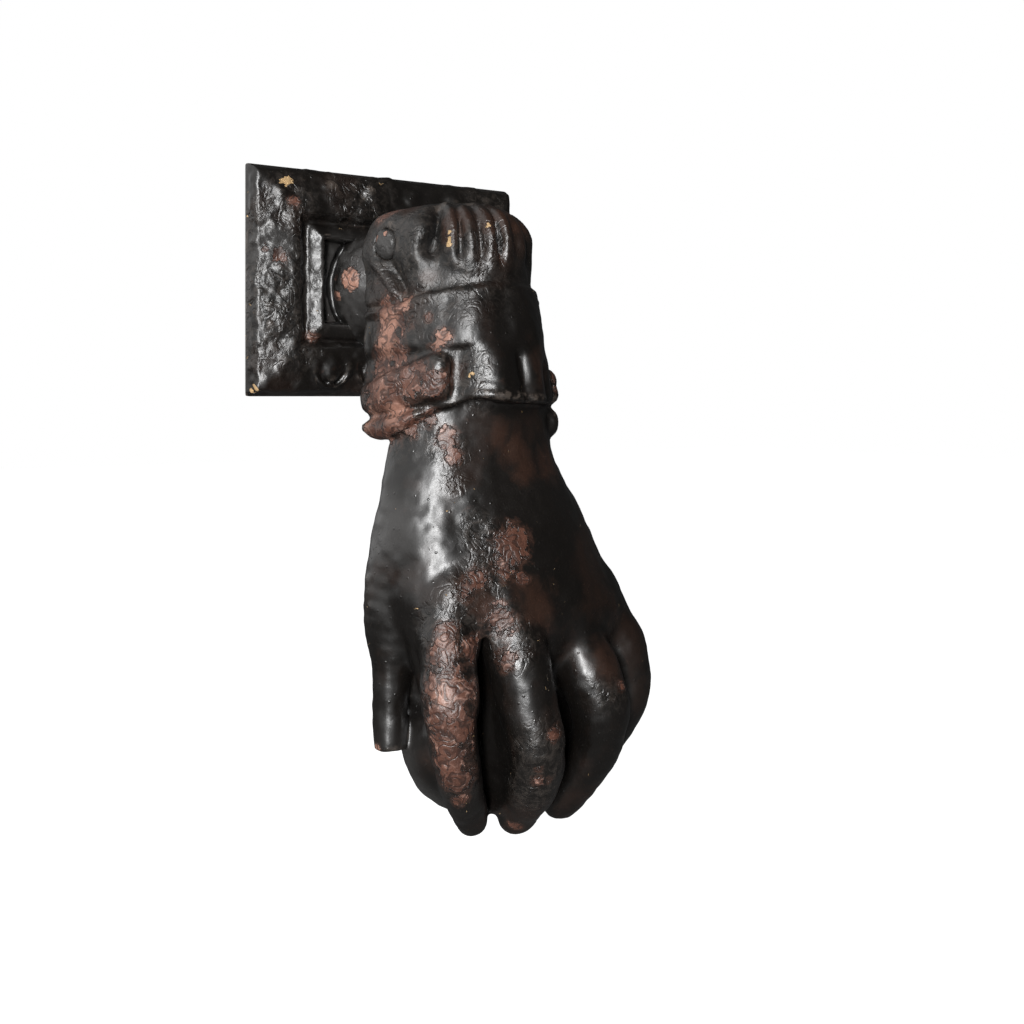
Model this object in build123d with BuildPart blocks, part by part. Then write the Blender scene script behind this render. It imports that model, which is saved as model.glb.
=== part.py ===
from build123d import *
import os
from math import cos, radians, sin

# Hand door knocker in cast iron: a wall plate with a domed boss and a tongue, and a left hand with a
# gathered cuff that holds a ball and hangs on a pin through the tongue.
# The origin is the centre of the plate's back face. X is to the right, Z is up, and the knocker stands
# out from the wall towards -Y. "Out" is a distance from the wall. Sizes are in millimetres.

# Wall plate
PLATE_WIDTH = 79.0
PLATE_HEIGHT = 60.0
PLATE_EDGE_THICKNESS = 4.4
PLATE_EDGE_INSET = 1.2
FRAME_TOP = 7.4
FRAME_WIDTH = 14.0
FRAME_SLOPE_WIDTH = 9.4
GROOVE_WIDTH = 1.6
GROOVE_FLOOR = 5.0
BEAD_WIDTH = 3.6
BEAD_TOP = 8.0
BEAD_EDGE_ROUND = 1.2
RECESS_FLOOR = 4.2

# Eggs cast on the plate's frame
EGG_SPHERE_RADIUS = 6.0
EGG_TOP = 7.2
EGG_INSET = 7.4
EGG_PITCH = 12.0
EGGS_LONG_SIDE = 4
EGGS_SHORT_SIDE = 3

# Domed boss and tongue
DOME_RADIUS = 16.6
TONGUE_THICKNESS = 10.0
TONGUE_END_RADIUS = 6.2
TONGUE_ROOT_HALF_HEIGHT = 8.0
PIVOT_OUT = 40.0
PIVOT_Z = 6.0

# Fixing stud, its thicker root held in the plate
STUD_RADIUS = 4.0
STUD_FREE_LENGTH = 45.0
STUD_ROOT_RADIUS = 5.0
STUD_ROOT_LENGTH = 10.0
STUD_ROOT_CLEARANCE = 0.03
STUD_END_CHAMFER = 1.0

# Pivot pin, its ends peened over into round seats in the cuff
PIN_RADIUS = 3.0
PIN_HEAD_RADIUS = 3.6
PIN_HEAD_CHAMFER = 1.0
PIN_SEAT_X = 17.6
PIN_HEAD_THICKNESS = 1.8
PIN_RUNNING_CLEARANCE = 0.05
PIN_CHEEK_CLEARANCE = 0.02

# Cuff: a D in section, flat and open behind
CUFF_HALF_WIDTH = 20.0
CUFF_BACK_OUT = 31.0
CUFF_DEPTH = 31.0
CUFF_WALL = 4.5
CUFF_TOP_Z = 16.6
BAND_TOP_Z = -6.0
BAND_BOTTOM_Z = -31.0
BAND_STEP = 0.6
BAND_FLARE = 5.0
BAND_MIDDLE_SHARE = 0.7
BAND_TOP_FULLNESS = 2.1  # 2 is a plain half ellipse, more is squarer
BAND_FULLNESS = 2.35
PLEAT_DEPTH = 1.4
PLEAT_GROOVES = (-42, -28, -15, -1, 14, 30, 46, 62)  # degrees from the front
SLEEVE_LEVELS = (
    # z, then shares of the cuff's full size and of the full pleat depth
    (BAND_TOP_Z - 1, 1.0, 0),
    (-2.0, 0.985, 0.8),
    (4.0, 1.0, 1.0),
    (10.0, 0.95, 1.0),
    (14.6, 0.8, 0.8),
    (CUFF_TOP_Z, 0.56, 0.3),
)
CAVITY_DEPTH = 20.0
CAVITY_TOP_Z = 12.6
CAVITY_BOTTOM_Z = -26.0
SLOT_CLEARANCE = 0.7
SLOT_DEPTH = 13.0

# Turned lobes of the cuff's frill, one on each side
LOBE_TOP_Z = -17.5
LOBE_BOTTOM_Z = -39.5
LOBE_INNER_X = 12.0
LOBE_CENTRE_OUT = 42.0
LOBE_HALF_WIDTH = 22.6
LOBE_HALF_DEPTH = 25.5
LOBE_ROUND = 1.5
LOBE_LEVELS = (
    # z, then how far the cloth swells beyond its half width and half depth
    (LOBE_TOP_Z, -2.4),
    (-23.0, -0.8),
    (-29.0, 0.1),
    (-33.6, -1.3),
    (LOBE_BOTTOM_Z, 0.0),
)

# Ball
BALL_RADIUS = 18.1
BALL_OUT = 50.0
BALL_Z = -110.4

# Wrist and back of the hand: height, x and out of each level ellipse, then its two half-widths
HAND_SECTIONS = (
    (-24, 0.0, 46.5, 18.5, 13.0),
    (-34, -0.3, 47.0, 20.4, 14.2),
    (-43, -0.3, 47.2, 21.6, 14.6),
    (-51, 1.0, 48.4, 24.0, 15.0),
    (-60, 2.5, 50.4, 26.6, 15.6),
    (-69, 4.0, 52.8, 28.2, 16.0),
    (-78, 6.6, 55.6, 30.0, 15.8),
    (-86, 8.2, 56.8, 29.6, 13.0),
    (-94, 9.2, 55.8, 28.2, 9.6),
    (-102, 9.8, 54.4, 25.6, 7.0),
    (-110, 10.2, 53.4, 22.0, 5.6),
    (-118, 9.6, 52.6, 16.6, 4.6),
    (-124, 9.0, 52.0, 10.0, 3.6),
)

# Fingers and thumb: x, out and height of each joint of the axis, then the radius there
INDEX = (
    (-13.0, 58.5, -74, 6.6),
    (-15.8, 64.0, -86, 6.4),
    (-16.9, 66.8, -96, 5.6),
    (-15.6, 66.0, -106, 5.3),
    (-11.8, 62.4, -116, 5.0),
    (-7.2, 58.0, -125, 4.4),
    (-5.0, 56.0, -128.6, 3.9),
)
MIDDLE = (
    (-1.0, 61.0, -74, 7.0),
    (-0.4, 68.0, -87, 7.0),
    (0.8, 71.4, -97, 6.8),
    (3.0, 70.2, -107, 6.7),
    (5.0, 65.6, -117, 6.0),
    (5.8, 60.2, -125, 5.0),
    (6.0, 57.6, -128.2, 4.4),
)
RING = (
    (13.5, 60.0, -74, 6.8),
    (18.2, 66.0, -87, 6.6),
    (21.8, 68.2, -97, 6.4),
    (23.6, 67.2, -107, 6.2),
    (22.8, 63.0, -117, 5.8),
    (20.8, 58.2, -125.0, 5.0),
    (19.8, 56.0, -128.0, 4.5),
)
LITTLE = (
    (26.2, 55.0, -74, 6.0),
    (32.6, 59.0, -86, 5.8),
    (36.6, 60.6, -95, 5.6),
    (37.4, 60.2, -103, 5.4),
    (36.0, 57.8, -110, 5.1),
    (33.4, 54.6, -117, 4.6),
    (32.2, 52.6, -120.4, 4.1),
)
THUMB = (
    (-7.0, 45.5, -46, 9.5),
    (-12.0, 45.5, -58, 10.8),
    (-15.6, 46.0, -70, 10.4),
    (-18.8, 46.6, -81, 8.2),
    (-20.8, 47.2, -91, 5.6),
    (-21.4, 47.6, -101, 4.4),
    (-21.4, 48.0, -110.4, 4.1),
)
THUMB_WEB = (
    (-9.0, 46.0, -66, 8.5),
    (-11.0, 45.5, -82, 7.6),
    (-9.5, 47.0, -98, 5.5),
)
TIP_FULLNESS = 1.02  # a round tip's radius, as a share of the last joint's


def at(x, out, z):
    """A point from its distance to the right, out from the wall and up."""
    return (x, -out, z)


def front_plane(out):
    """A plane parallel to the wall that faces away from it, with X to the right and Z up."""
    return Plane.XZ.offset(out)


def level_plane(z):
    """A level plane with X to the right and the way out from the wall as its Y."""
    return Plane(origin=(0, 0, z), x_dir=(1, 0, 0), z_dir=(0, 0, -1))


def plate_rectangle(out, inset):
    """The plate's outline at a distance out from the wall, drawn in by an inset."""
    with BuildSketch(front_plane(out)) as outline:
        Rectangle(PLATE_WIDTH - 2 * inset, PLATE_HEIGHT - 2 * inset)
    return outline.sketch


def egg_places():
    """Centres of the eggs along the four sides of the frame."""
    half_width = PLATE_WIDTH / 2 - EGG_INSET
    half_height = PLATE_HEIGHT / 2 - EGG_INSET
    for i in range(EGGS_LONG_SIDE):
        x = (i - (EGGS_LONG_SIDE - 1) / 2) * EGG_PITCH
        yield x, half_height
        yield x, -half_height
    for i in range(EGGS_SHORT_SIDE):
        z = (i - (EGGS_SHORT_SIDE - 1) / 2) * EGG_PITCH
        yield half_width, z
        yield -half_width, z


bead_inset = FRAME_WIDTH + GROOVE_WIDTH
recess_inset = bead_inset + BEAD_WIDTH

with BuildPart() as wall_plate:
    # Slab with a drafted edge
    loft([plate_rectangle(0, 0), plate_rectangle(PLATE_EDGE_THICKNESS, PLATE_EDGE_INSET)])
    # Frame that rises from the edge
    loft([plate_rectangle(PLATE_EDGE_THICKNESS, PLATE_EDGE_INSET),
          plate_rectangle(FRAME_TOP, PLATE_EDGE_INSET + FRAME_SLOPE_WIDTH)])
    for egg_x, egg_z in egg_places():
        with Locations(at(egg_x, EGG_TOP - EGG_SPHERE_RADIUS, egg_z)):
            Sphere(EGG_SPHERE_RADIUS)
    # Field inside the frame: groove, raised bead and recess
    with BuildSketch(front_plane(GROOVE_FLOOR)):
        Rectangle(PLATE_WIDTH - 2 * FRAME_WIDTH, PLATE_HEIGHT - 2 * FRAME_WIDTH)
    extrude(amount=FRAME_TOP, mode=Mode.SUBTRACT)
    with BuildSketch(front_plane(GROOVE_FLOOR)):
        Rectangle(PLATE_WIDTH - 2 * bead_inset, PLATE_HEIGHT - 2 * bead_inset)
    extrude(amount=BEAD_TOP - GROOVE_FLOOR)
    bead_face = wall_plate.faces().filter_by(Axis.Y).sort_by(Axis.Y)[0]
    fillet(bead_face.outer_wire().edges(), BEAD_EDGE_ROUND)
    with BuildSketch(front_plane(RECESS_FLOOR)):
        Rectangle(PLATE_WIDTH - 2 * recess_inset, PLATE_HEIGHT - 2 * recess_inset)
    extrude(amount=BEAD_TOP, mode=Mode.SUBTRACT)
    # Domed boss
    with Locations(at(0, RECESS_FLOOR, 0)):
        Sphere(DOME_RADIUS)
    split(bisect_by=Plane.XZ, keep=Keep.TOP)
    # Tongue that carries the pivot
    with BuildSketch(Plane.YZ):
        with BuildLine():
            Polyline((-RECESS_FLOOR, -TONGUE_ROOT_HALF_HEIGHT),
                     (-RECESS_FLOOR, TONGUE_ROOT_HALF_HEIGHT),
                     (-PIVOT_OUT, PIVOT_Z + TONGUE_END_RADIUS),
                     (-PIVOT_OUT, PIVOT_Z - TONGUE_END_RADIUS),
                     close=True)
        make_face()
        with Locations((-PIVOT_OUT, PIVOT_Z)):
            Circle(TONGUE_END_RADIUS)
    extrude(amount=TONGUE_THICKNESS / 2, both=True)
    with BuildSketch(Plane.YZ):
        with Locations((-PIVOT_OUT, PIVOT_Z)):
            Circle(PIN_RADIUS + PIN_RUNNING_CLEARANCE)
    extrude(amount=TONGUE_THICKNESS, both=True, mode=Mode.SUBTRACT)
    # Socket for the fixing stud
    with BuildSketch(Plane.XZ):
        Circle(STUD_ROOT_RADIUS + STUD_ROOT_CLEARANCE)
    extrude(amount=STUD_ROOT_LENGTH, mode=Mode.SUBTRACT)

with BuildPart() as fixing_stud:
    with BuildSketch(Plane.XZ):
        Circle(STUD_ROOT_RADIUS)
    extrude(amount=STUD_ROOT_LENGTH)
    with BuildSketch(Plane.XZ):
        Circle(STUD_RADIUS)
    extrude(amount=-STUD_FREE_LENGTH)
    stud_end = fixing_stud.faces().filter_by(Axis.Y).sort_by(Axis.Y)[-1]
    chamfer(stud_end.edges(), STUD_END_CHAMFER)

with BuildPart() as pivot_pin:
    with BuildSketch(Plane.YZ):
        with Locations((-PIVOT_OUT, PIVOT_Z)):
            Circle(PIN_RADIUS)
    extrude(amount=PIN_SEAT_X, both=True)
    for side in (1, -1):
        with BuildSketch(Plane.YZ.offset(side * PIN_SEAT_X)):
            with Locations((-PIVOT_OUT, PIVOT_Z)):
                Circle(PIN_HEAD_RADIUS)
        extrude(amount=side * PIN_HEAD_THICKNESS)
    head_faces = pivot_pin.faces().filter_by(Axis.X).sort_by(Axis.X)
    chamfer(head_faces[0].edges() + head_faces[-1].edges(), PIN_HEAD_CHAMFER)


def cuff_angles():
    """Angles round the cuff's front, in degrees: each groove and the crest between two grooves."""
    edges = (-90,) + PLEAT_GROOVES + (90,)
    angles = [-90]
    for first, second in zip(edges, edges[1:]):
        angles += [(first + second) / 2, second]
    return angles


def rounded(value, fullness):
    """A sine or cosine made fuller, for an outline between an ellipse and a rectangle."""
    return abs(value) ** (2 / fullness) * (1 if value > 0 else -1)


def cuff_section(z, half_width, depth, pleat_depth=0.0, fullness=2.0):
    """The cuff's D at a height: a straight back and a rounded front with or without pleats."""
    points = []
    for angle in cuff_angles():
        sunk = pleat_depth if angle in PLEAT_GROOVES else 0
        x = (half_width - sunk) * rounded(sin(radians(angle)), fullness)
        out = CUFF_BACK_OUT + (depth - sunk) * rounded(cos(radians(angle)), fullness)
        points.append((x, out))
    with BuildSketch(level_plane(z)) as section:
        with BuildLine():
            front = Spline(*points, tangents=[(0, 1), (0, -1)])
            Line(front @ 1, front @ 0)
        make_face()
    return section.sketch


def sleeve_section(z, scale, pleat_scale):
    """The gathered sleeve at a height, as a share of its full width."""
    return cuff_section(z, CUFF_HALF_WIDTH * scale, CUFF_DEPTH * scale, PLEAT_DEPTH * pleat_scale)


def hand_section(z, x, out, half_width, half_depth):
    """A level ellipse through the wrist or the hand."""
    with BuildSketch(level_plane(z)) as section:
        with Locations((x, out)):
            Ellipse(half_width, half_depth)
    return section.sketch


def circle_across(point, direction, radius):
    """A circle square to a finger's axis."""
    with BuildSketch(Plane(origin=point, x_dir=(1, 0, 0), z_dir=direction)) as section:
        Circle(radius)
    return section.sketch


def limb(joints, round_tip=True):
    """A bent finger lofted through a circle at each joint of its axis, with a round or a flat end."""
    points = [Vector(*at(x, out, z)) for x, out, z, radius in joints]
    line = Spline(*points)
    sections = []
    for point, joint in zip(points, joints):
        sections.append(circle_across(point, line % line.param_at_point(point), joint[3]))
    loft(sections)
    if round_tip:
        with Locations(Plane(origin=points[-1], z_dir=line % 1)):
            Sphere(joints[-1][3] * TIP_FULLNESS)


with BuildPart() as frill_lobe:
    loft([hand_section(z, 0, LOBE_CENTRE_OUT, LOBE_HALF_WIDTH + swell, LOBE_HALF_DEPTH + swell)
          for z, swell in LOBE_LEVELS])
    with BuildSketch(level_plane(LOBE_TOP_Z)):
        with Locations((LOBE_INNER_X, CUFF_BACK_OUT)):
            Rectangle(CUFF_HALF_WIDTH, CUFF_DEPTH * 2, align=(Align.MIN, Align.MIN))
    extrude(amount=LOBE_TOP_Z - LOBE_BOTTOM_Z, mode=Mode.INTERSECT)
    hem = frill_lobe.faces().sort_by(Axis.Z)[0]
    fillet(hem.edges().filter_by(Axis.Y, reverse=True), LOBE_ROUND)

with BuildPart() as hand:
    # Gathered sleeve
    loft([sleeve_section(*level) for level in SLEEVE_LEVELS])
    # Band below the gathers
    loft([
        cuff_section(BAND_TOP_Z, CUFF_HALF_WIDTH, CUFF_DEPTH + BAND_STEP,
                     fullness=BAND_TOP_FULLNESS),
        cuff_section((BAND_TOP_Z + BAND_BOTTOM_Z) / 2, CUFF_HALF_WIDTH,
                     CUFF_DEPTH + BAND_FLARE * BAND_MIDDLE_SHARE, fullness=BAND_FULLNESS),
        cuff_section(BAND_BOTTOM_Z, CUFF_HALF_WIDTH + BAND_STEP, CUFF_DEPTH + BAND_FLARE,
                     fullness=BAND_FULLNESS),
    ])
    add(frill_lobe.part)
    add(mirror(frill_lobe.part, about=Plane.YZ))
    # Wrist, back of the hand, ball, fingers and thumb
    loft([hand_section(*section) for section in HAND_SECTIONS])
    with Locations(at(0, BALL_OUT, BALL_Z)):
        Sphere(BALL_RADIUS)
    for finger in (INDEX, MIDDLE, RING, LITTLE):
        limb(finger)
    limb(THUMB, round_tip=False)
    limb(THUMB_WEB, round_tip=False)
    # Hollow of the cuff, open behind
    with BuildSketch(level_plane(CAVITY_TOP_Z)):
        with Locations((0, CUFF_BACK_OUT)):
            Ellipse(CUFF_HALF_WIDTH - CUFF_WALL, CAVITY_DEPTH)
    extrude(amount=CAVITY_TOP_Z - CAVITY_BOTTOM_Z, mode=Mode.SUBTRACT)
    # Slot in the cuff's top that the tongue passes through when the hand is lifted
    slot_half_width = TONGUE_THICKNESS / 2 + SLOT_CLEARANCE
    with BuildSketch(level_plane(CUFF_TOP_Z)):
        with Locations((0, CUFF_BACK_OUT + SLOT_DEPTH - CUFF_DEPTH / 2)):
            Rectangle(2 * slot_half_width, CUFF_DEPTH)
    extrude(amount=CUFF_TOP_Z - PIVOT_Z, mode=Mode.SUBTRACT)
    # Bore for the pin and seats for its peened ends
    with BuildSketch(Plane.YZ):
        with Locations((-PIVOT_OUT, PIVOT_Z)):
            Circle(PIN_RADIUS + PIN_CHEEK_CLEARANCE)
    extrude(amount=CUFF_HALF_WIDTH + PIN_HEAD_RADIUS, both=True, mode=Mode.SUBTRACT)
    for side in (1, -1):
        with BuildSketch(Plane.YZ.offset(side * PIN_SEAT_X)):
            with Locations((-PIVOT_OUT, PIVOT_Z)):
                Circle(PIN_HEAD_RADIUS + PIN_CHEEK_CLEARANCE)
        extrude(amount=side * CUFF_HALF_WIDTH, mode=Mode.SUBTRACT)

wall_plate.part.label = "wall_plate"
fixing_stud.part.label = "fixing_stud"
pivot_pin.part.label = "pivot_pin"
hand.part.label = "hand"

os.makedirs("parts", exist_ok=True)
export_step(wall_plate.part, "parts/wall_plate.step")
export_step(fixing_stud.part, "parts/fixing_stud.step")
export_step(pivot_pin.part, "parts/pivot_pin.step")
export_step(hand.part, "parts/hand.step")
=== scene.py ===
# %% [markdown]
# # A hand door knocker in cast iron
#
# The real knocker is four pieces of iron. A moulded plate is fixed to the door by a threaded stud. A hand
# with a gathered cuff, cast in one piece with the ball that it holds, hangs on a pin through a tongue on
# the plate. A hundred years of black paint, chips and rust give it its look.
#
# The CAD model holds the sizes, the fits and the joint. This file loads it as a fixed frame and builds the
# castings again with the softness, folds and paint that a drawing leaves out.

# %% Load the measured frame
from functools import reduce
from math import pi, radians

import bpy
import numpy as np
import openvdb
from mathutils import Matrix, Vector


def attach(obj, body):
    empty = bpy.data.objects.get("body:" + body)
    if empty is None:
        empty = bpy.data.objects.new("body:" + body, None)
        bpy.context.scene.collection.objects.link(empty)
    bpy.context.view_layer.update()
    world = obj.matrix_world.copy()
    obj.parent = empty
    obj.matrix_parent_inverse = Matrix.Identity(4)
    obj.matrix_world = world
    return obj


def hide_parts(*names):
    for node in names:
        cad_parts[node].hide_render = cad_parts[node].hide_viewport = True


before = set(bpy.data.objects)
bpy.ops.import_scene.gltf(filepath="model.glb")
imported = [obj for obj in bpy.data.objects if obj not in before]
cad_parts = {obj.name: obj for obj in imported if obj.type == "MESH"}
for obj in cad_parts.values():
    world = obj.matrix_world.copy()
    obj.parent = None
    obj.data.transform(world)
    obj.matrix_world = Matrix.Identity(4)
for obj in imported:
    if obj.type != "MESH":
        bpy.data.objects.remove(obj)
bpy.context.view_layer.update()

# %% [markdown]
# ## Camera
#
# The photo is taken from the knocker's left, a little below the pin, with a fairly short lens. The lines of
# the plate give the place: its lower edge looks level, so the eye is at that height, and the shift brings
# the hanging hand into the frame without tilting the camera.

# %% Camera at the photo's place
camera_lens = bpy.data.cameras.new("photo_camera")
camera_lens.lens = 41.13
camera_lens.shift_y = -0.1123
camera_lens.clip_start = 0.01
camera = bpy.data.objects.new("photo_camera", camera_lens)
camera.location = (-0.1424, -0.2891, -0.0300)
camera.rotation_euler = (radians(90), 0, radians(-32.5))
bpy.context.scene.collection.objects.link(camera)
bpy.context.scene.camera = camera
print("camera stands", round(camera.location.length, 3), "m from the plate")

# %% [markdown]
# ## Modelling like a caster
#
# The pattern for such a casting was carved in wood or wax, and every corner in it is filled, because sand
# can't hold a sharp inner corner and iron can't fill one. A distance field works the same way. Each point
# of a grid holds its distance from the skin, two shapes melt together over a chosen width, and a skin is
# drawn at distance zero. Lengths are in millimetres here: x to the right, out from the wall, z up.

# %% A mould: a grid of distances that shapes are poured into
FAR = 9.0  # every point starts this far from any iron


def softly_least(first, second, blend):
    """The smaller of two distances, with the corner between them filled over the blend's width."""
    if blend <= 0:
        return np.minimum(first, second)
    near = np.clip(1 - np.abs(first - second) / blend, 0, None)
    return np.minimum(first, second) - near * near * blend / 4


class Mould:
    """A box of points that each hold a distance from the iron's skin. Inside it is below zero."""

    def __init__(self, low, high, step):
        self.low = np.array(low, float)
        self.high = np.array(high, float)
        self.step = step
        counts = np.ceil((self.high - self.low) / step).astype(int) + 1
        self.depth = np.full(counts, FAR, np.float32)

    def window(self, low, high):
        """The part of the grid between two corners, or all of it, and its x, out and z."""
        low = self.low if low is None else np.array(low, float)
        high = self.high if high is None else np.array(high, float)
        first = np.floor((low - self.low) / self.step).astype(int).clip(0)
        last = np.ceil((high - self.low) / self.step).astype(int) + 1
        last = np.minimum(last, self.depth.shape)
        part = tuple(slice(a, b) for a, b in zip(first, last))
        lines = [self.low[i] + self.step * np.arange(first[i], last[i]) for i in range(3)]
        return part, np.ix_(*lines)

    def pour(self, shape, low=None, high=None, blend=0.0):
        """Adds a shape between two corners and melts it into what is there."""
        part, (x, out, z) = self.window(low, high)
        self.depth[part] = softly_least(self.depth[part], shape(x, out, z), blend)

    def carve(self, shape, low=None, high=None, blend=0.0):
        """Takes a shape away between two corners."""
        part, (x, out, z) = self.window(low, high)
        self.depth[part] = -softly_least(-self.depth[part], shape(x, out, z), blend)


hand_step = 0.72
plate_step = 0.42
hand_mould = Mould((-29, 27, -136), (49, 83, 22), hand_step)
print("hand mould:", hand_mould.depth.shape, "points")

# %% [markdown]
# ### Smooth lines through a few stations
#
# A carver sets a few sections and lets the chisel run smoothly between them. `flow` does the same for any
# row of numbers, and the wrist, the fingers and the cuff all use it.

# %% A smooth run through stations


def flow(stations, values, where):
    """A smooth curve through values at rising stations, read at where."""
    stations = np.asarray(stations, float)
    values = np.asarray(values, float)
    slopes = np.gradient(values, stations)
    i = np.clip(np.searchsorted(stations, where) - 1, 0, len(stations) - 2)
    span = stations[i + 1] - stations[i]
    t = np.clip((where - stations[i]) / span, 0, 1)
    start = (1 + 2 * t) * (1 - t) ** 2 * values[i] + t * (1 - t) ** 2 * span * slopes[i]
    return start + t * t * (3 - 2 * t) * values[i + 1] - t * t * (1 - t) * span * slopes[i + 1]


print("halfway between 0, 1 and 4:", flow((0, 1, 2), (0, 1, 4), np.array([0.5, 1.5])).round(3))

# %% [markdown]
# ## The wrist and the back of the hand
#
# Level ellipses from the cuff down to the knuckles, the same stations as in the CAD model. Below the
# knuckles the iron thins, so that the ball shows between the fingers as it does on the real one.

# %% Wrist and palm
PALM_STATIONS = np.array([
    # z, x, out, half width, half depth
    (-126, 9.0, 52.0, 9.0, 3.5),
    (-118, 9.6, 52.6, 17.0, 4.6),
    (-110, 10.2, 53.4, 22.0, 5.6),
    (-102, 9.8, 54.4, 25.6, 7.0),
    (-94, 9.2, 55.8, 28.2, 9.6),
    (-86, 8.2, 56.8, 29.6, 13.0),
    (-78, 6.6, 55.6, 30.0, 15.8),
    (-69, 4.0, 52.8, 28.2, 16.0),
    (-60, 2.5, 50.4, 26.6, 15.6),
    (-51, 1.0, 48.4, 24.0, 15.0),
    (-43, 0.3, 47.2, 21.0, 14.6),
    (-34, 0.3, 47.0, 19.8, 14.2),
    (-24, 0.0, 46.5, 18.5, 13.0),
])
TINY = 1e-6  # keeps a division from failing at a middle


def within(*walls):
    """Distance from a shape that lies inside each of these walls."""
    return reduce(np.maximum, walls)


def oval_distance(across, along, half_width, half_depth):
    """How far a point is from an oval, near enough for a skin."""
    first = np.sqrt((across / half_width) ** 2 + (along / half_depth) ** 2) + TINY
    second = np.sqrt((across / half_width**2) ** 2 + (along / half_depth**2) ** 2) + TINY
    return first * (first - 1) / second


def palm(x, out, z):
    """The wrist and the back of the hand, cut level above and below."""
    levels = PALM_STATIONS[:, 0]
    centre_x, centre_out, half_width, half_depth = (
        flow(levels, PALM_STATIONS[:, i], z) for i in range(1, 5)
    )
    round_it = oval_distance(x - centre_x, out - centre_out, half_width, half_depth)
    return within(round_it, z - levels[-1], levels[0] - z)


hand_mould.pour(palm, (-29, 27, -128), (49, 83, -22))
print("palm stations:", len(PALM_STATIONS))

# %% [markdown]
# ## Fingers, thumb and ball
#
# Each finger is a bent round rod that thins to its tip, so a few joints with a radius at each are enough.
# They melt into the hand over several millimetres, which makes the webs between them, and barely into the
# ball that they hold. The ball comes first, and a trench is cut before the fingers are laid on, because the
# gap between the first two fingers is deep and black. The thumb was cast as a stub with a flat end.

# %% Ball
BALL = (0.0, 50.0, -110.4)
BALL_RADIUS = 18.1


def ball(x, out, z):
    """The round ball that strikes the door."""
    apart = (x - BALL[0]) ** 2 + (out - BALL[1]) ** 2 + (z - BALL[2]) ** 2
    return np.sqrt(apart) - BALL_RADIUS


hand_mould.pour(ball, (-25, 27, -136), (25, 75, -85), blend=1.2)
print("ball:", 2 * BALL_RADIUS, "mm across")

# %% Trench between the first two fingers
INDEX_TRENCH = np.array([
    # z, x, half width, out at its bottom
    (-129, -1.5, 0.8, 52.0),
    (-124, -2.2, 2.2, 54.0),
    (-118, -4.4, 3.3, 57.5),
    (-112, -6.0, 3.6, 58.0),
    (-106, -6.8, 3.8, 57.0),
    (-97, -6.8, 3.8, 55.0),
    (-90, -7.4, 3.0, 56.0),
    (-84, -8.2, 1.0, 60.0),
])
TRENCH_TOP_Z = -83
TRENCH_END_Z = -129
TRENCH_MOUTH = 6  # from its bottom to where it is at its full width
WALL_LEAN = 0.8  # a leaning wall is nearer than its level distance


def trench(x, out, z):
    """A groove that is as wide as the gap at its mouth and thin at its bottom."""
    x_at, half_width, bottom = (flow(INDEX_TRENCH[:, 0], INDEX_TRENCH[:, i], z) for i in (1, 2, 3))
    width = half_width * np.sqrt(np.clip((out - bottom) / TRENCH_MOUTH, 0, 1))
    wall = WALL_LEAN * (np.abs(x - x_at) - width)
    return within(wall, z - TRENCH_TOP_Z, TRENCH_END_Z - z, bottom - out)


hand_mould.carve(trench, (-16, 48, -131), (4, 80, -81), blend=0.8)
trench_depth = BALL[1] + BALL_RADIUS - float(INDEX_TRENCH[:, 3].min())
print("trench reaches", round(trench_depth, 1), "mm below the ball's front")

# %% Fingers
# Joints from the knuckle down, each an x, out, z and radius
INDEX = ((-13.0, 58.5, -74, 6.6), (-15.8, 64.0, -86, 6.4), (-16.9, 66.8, -96, 5.7),
         (-15.6, 66.2, -106, 5.3), (-11.8, 62.6, -115.6, 5.0), (-7.2, 58.0, -124, 4.4),
         (-5.2, 56.2, -127.3, 3.9))
MIDDLE = ((-1.0, 61.0, -74, 7.0), (-0.4, 67.6, -87, 7.0), (0.8, 70.1, -97, 6.8), (2.9, 71.2, -107.5, 6.4),
          (5.0, 67.0, -117.4, 5.9), (5.8, 60.6, -124.8, 5.0), (6.0, 57.8, -127.8, 4.4))
RING = ((13.5, 60.0, -74, 6.8), (18.2, 64.8, -87, 6.5), (21.8, 68.4, -98, 6.4), (23.6, 67.8, -107.5, 6.2),
        (22.8, 63.0, -117, 5.8), (20.8, 58.2, -124.6, 5.0), (19.8, 56.0, -127.4, 4.5))
LITTLE = ((26.2, 55.0, -74, 6.0), (32.6, 59.0, -86, 5.8), (36.3, 60.6, -95, 5.6), (37.1, 60.2, -103, 5.4),
          (36.0, 57.8, -110, 5.1), (33.4, 54.6, -117, 4.6), (32.2, 52.6, -120.4, 4.1))
THUMB = ((-7.0, 45.5, -46, 9.5), (-12.0, 45.5, -58, 10.8), (-15.6, 46.0, -70, 10.4),
         (-18.8, 46.6, -81, 8.2), (-21.0, 47.2, -91, 5.2), (-21.8, 47.6, -101, 4.0),
         (-21.8, 48.0, -114, 3.7))
THUMB_WEB = ((-9.0, 46.0, -66, 9.0), (-11.0, 45.0, -80, 8.0), (-11.5, 45.0, -90, 7.4),
             (-10.5, 45.5, -98, 6.6))
THUMB_END_Z = -110.4


def rod_distance(x, out, z, start, end):
    """Distance from a straight round rod between two joints, each an x, out, z and radius."""
    run = end[:3] - start[:3]
    from_start = (x - start[0], out - start[1], z - start[2])
    share = sum(d * r for d, r in zip(from_start, run)) / (run @ run)
    share = np.clip(share, 0, 1)
    apart = sum((d - share * r) ** 2 for d, r in zip(from_start, run))
    return np.sqrt(apart) - (start[3] + share * (end[3] - start[3]))


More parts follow.
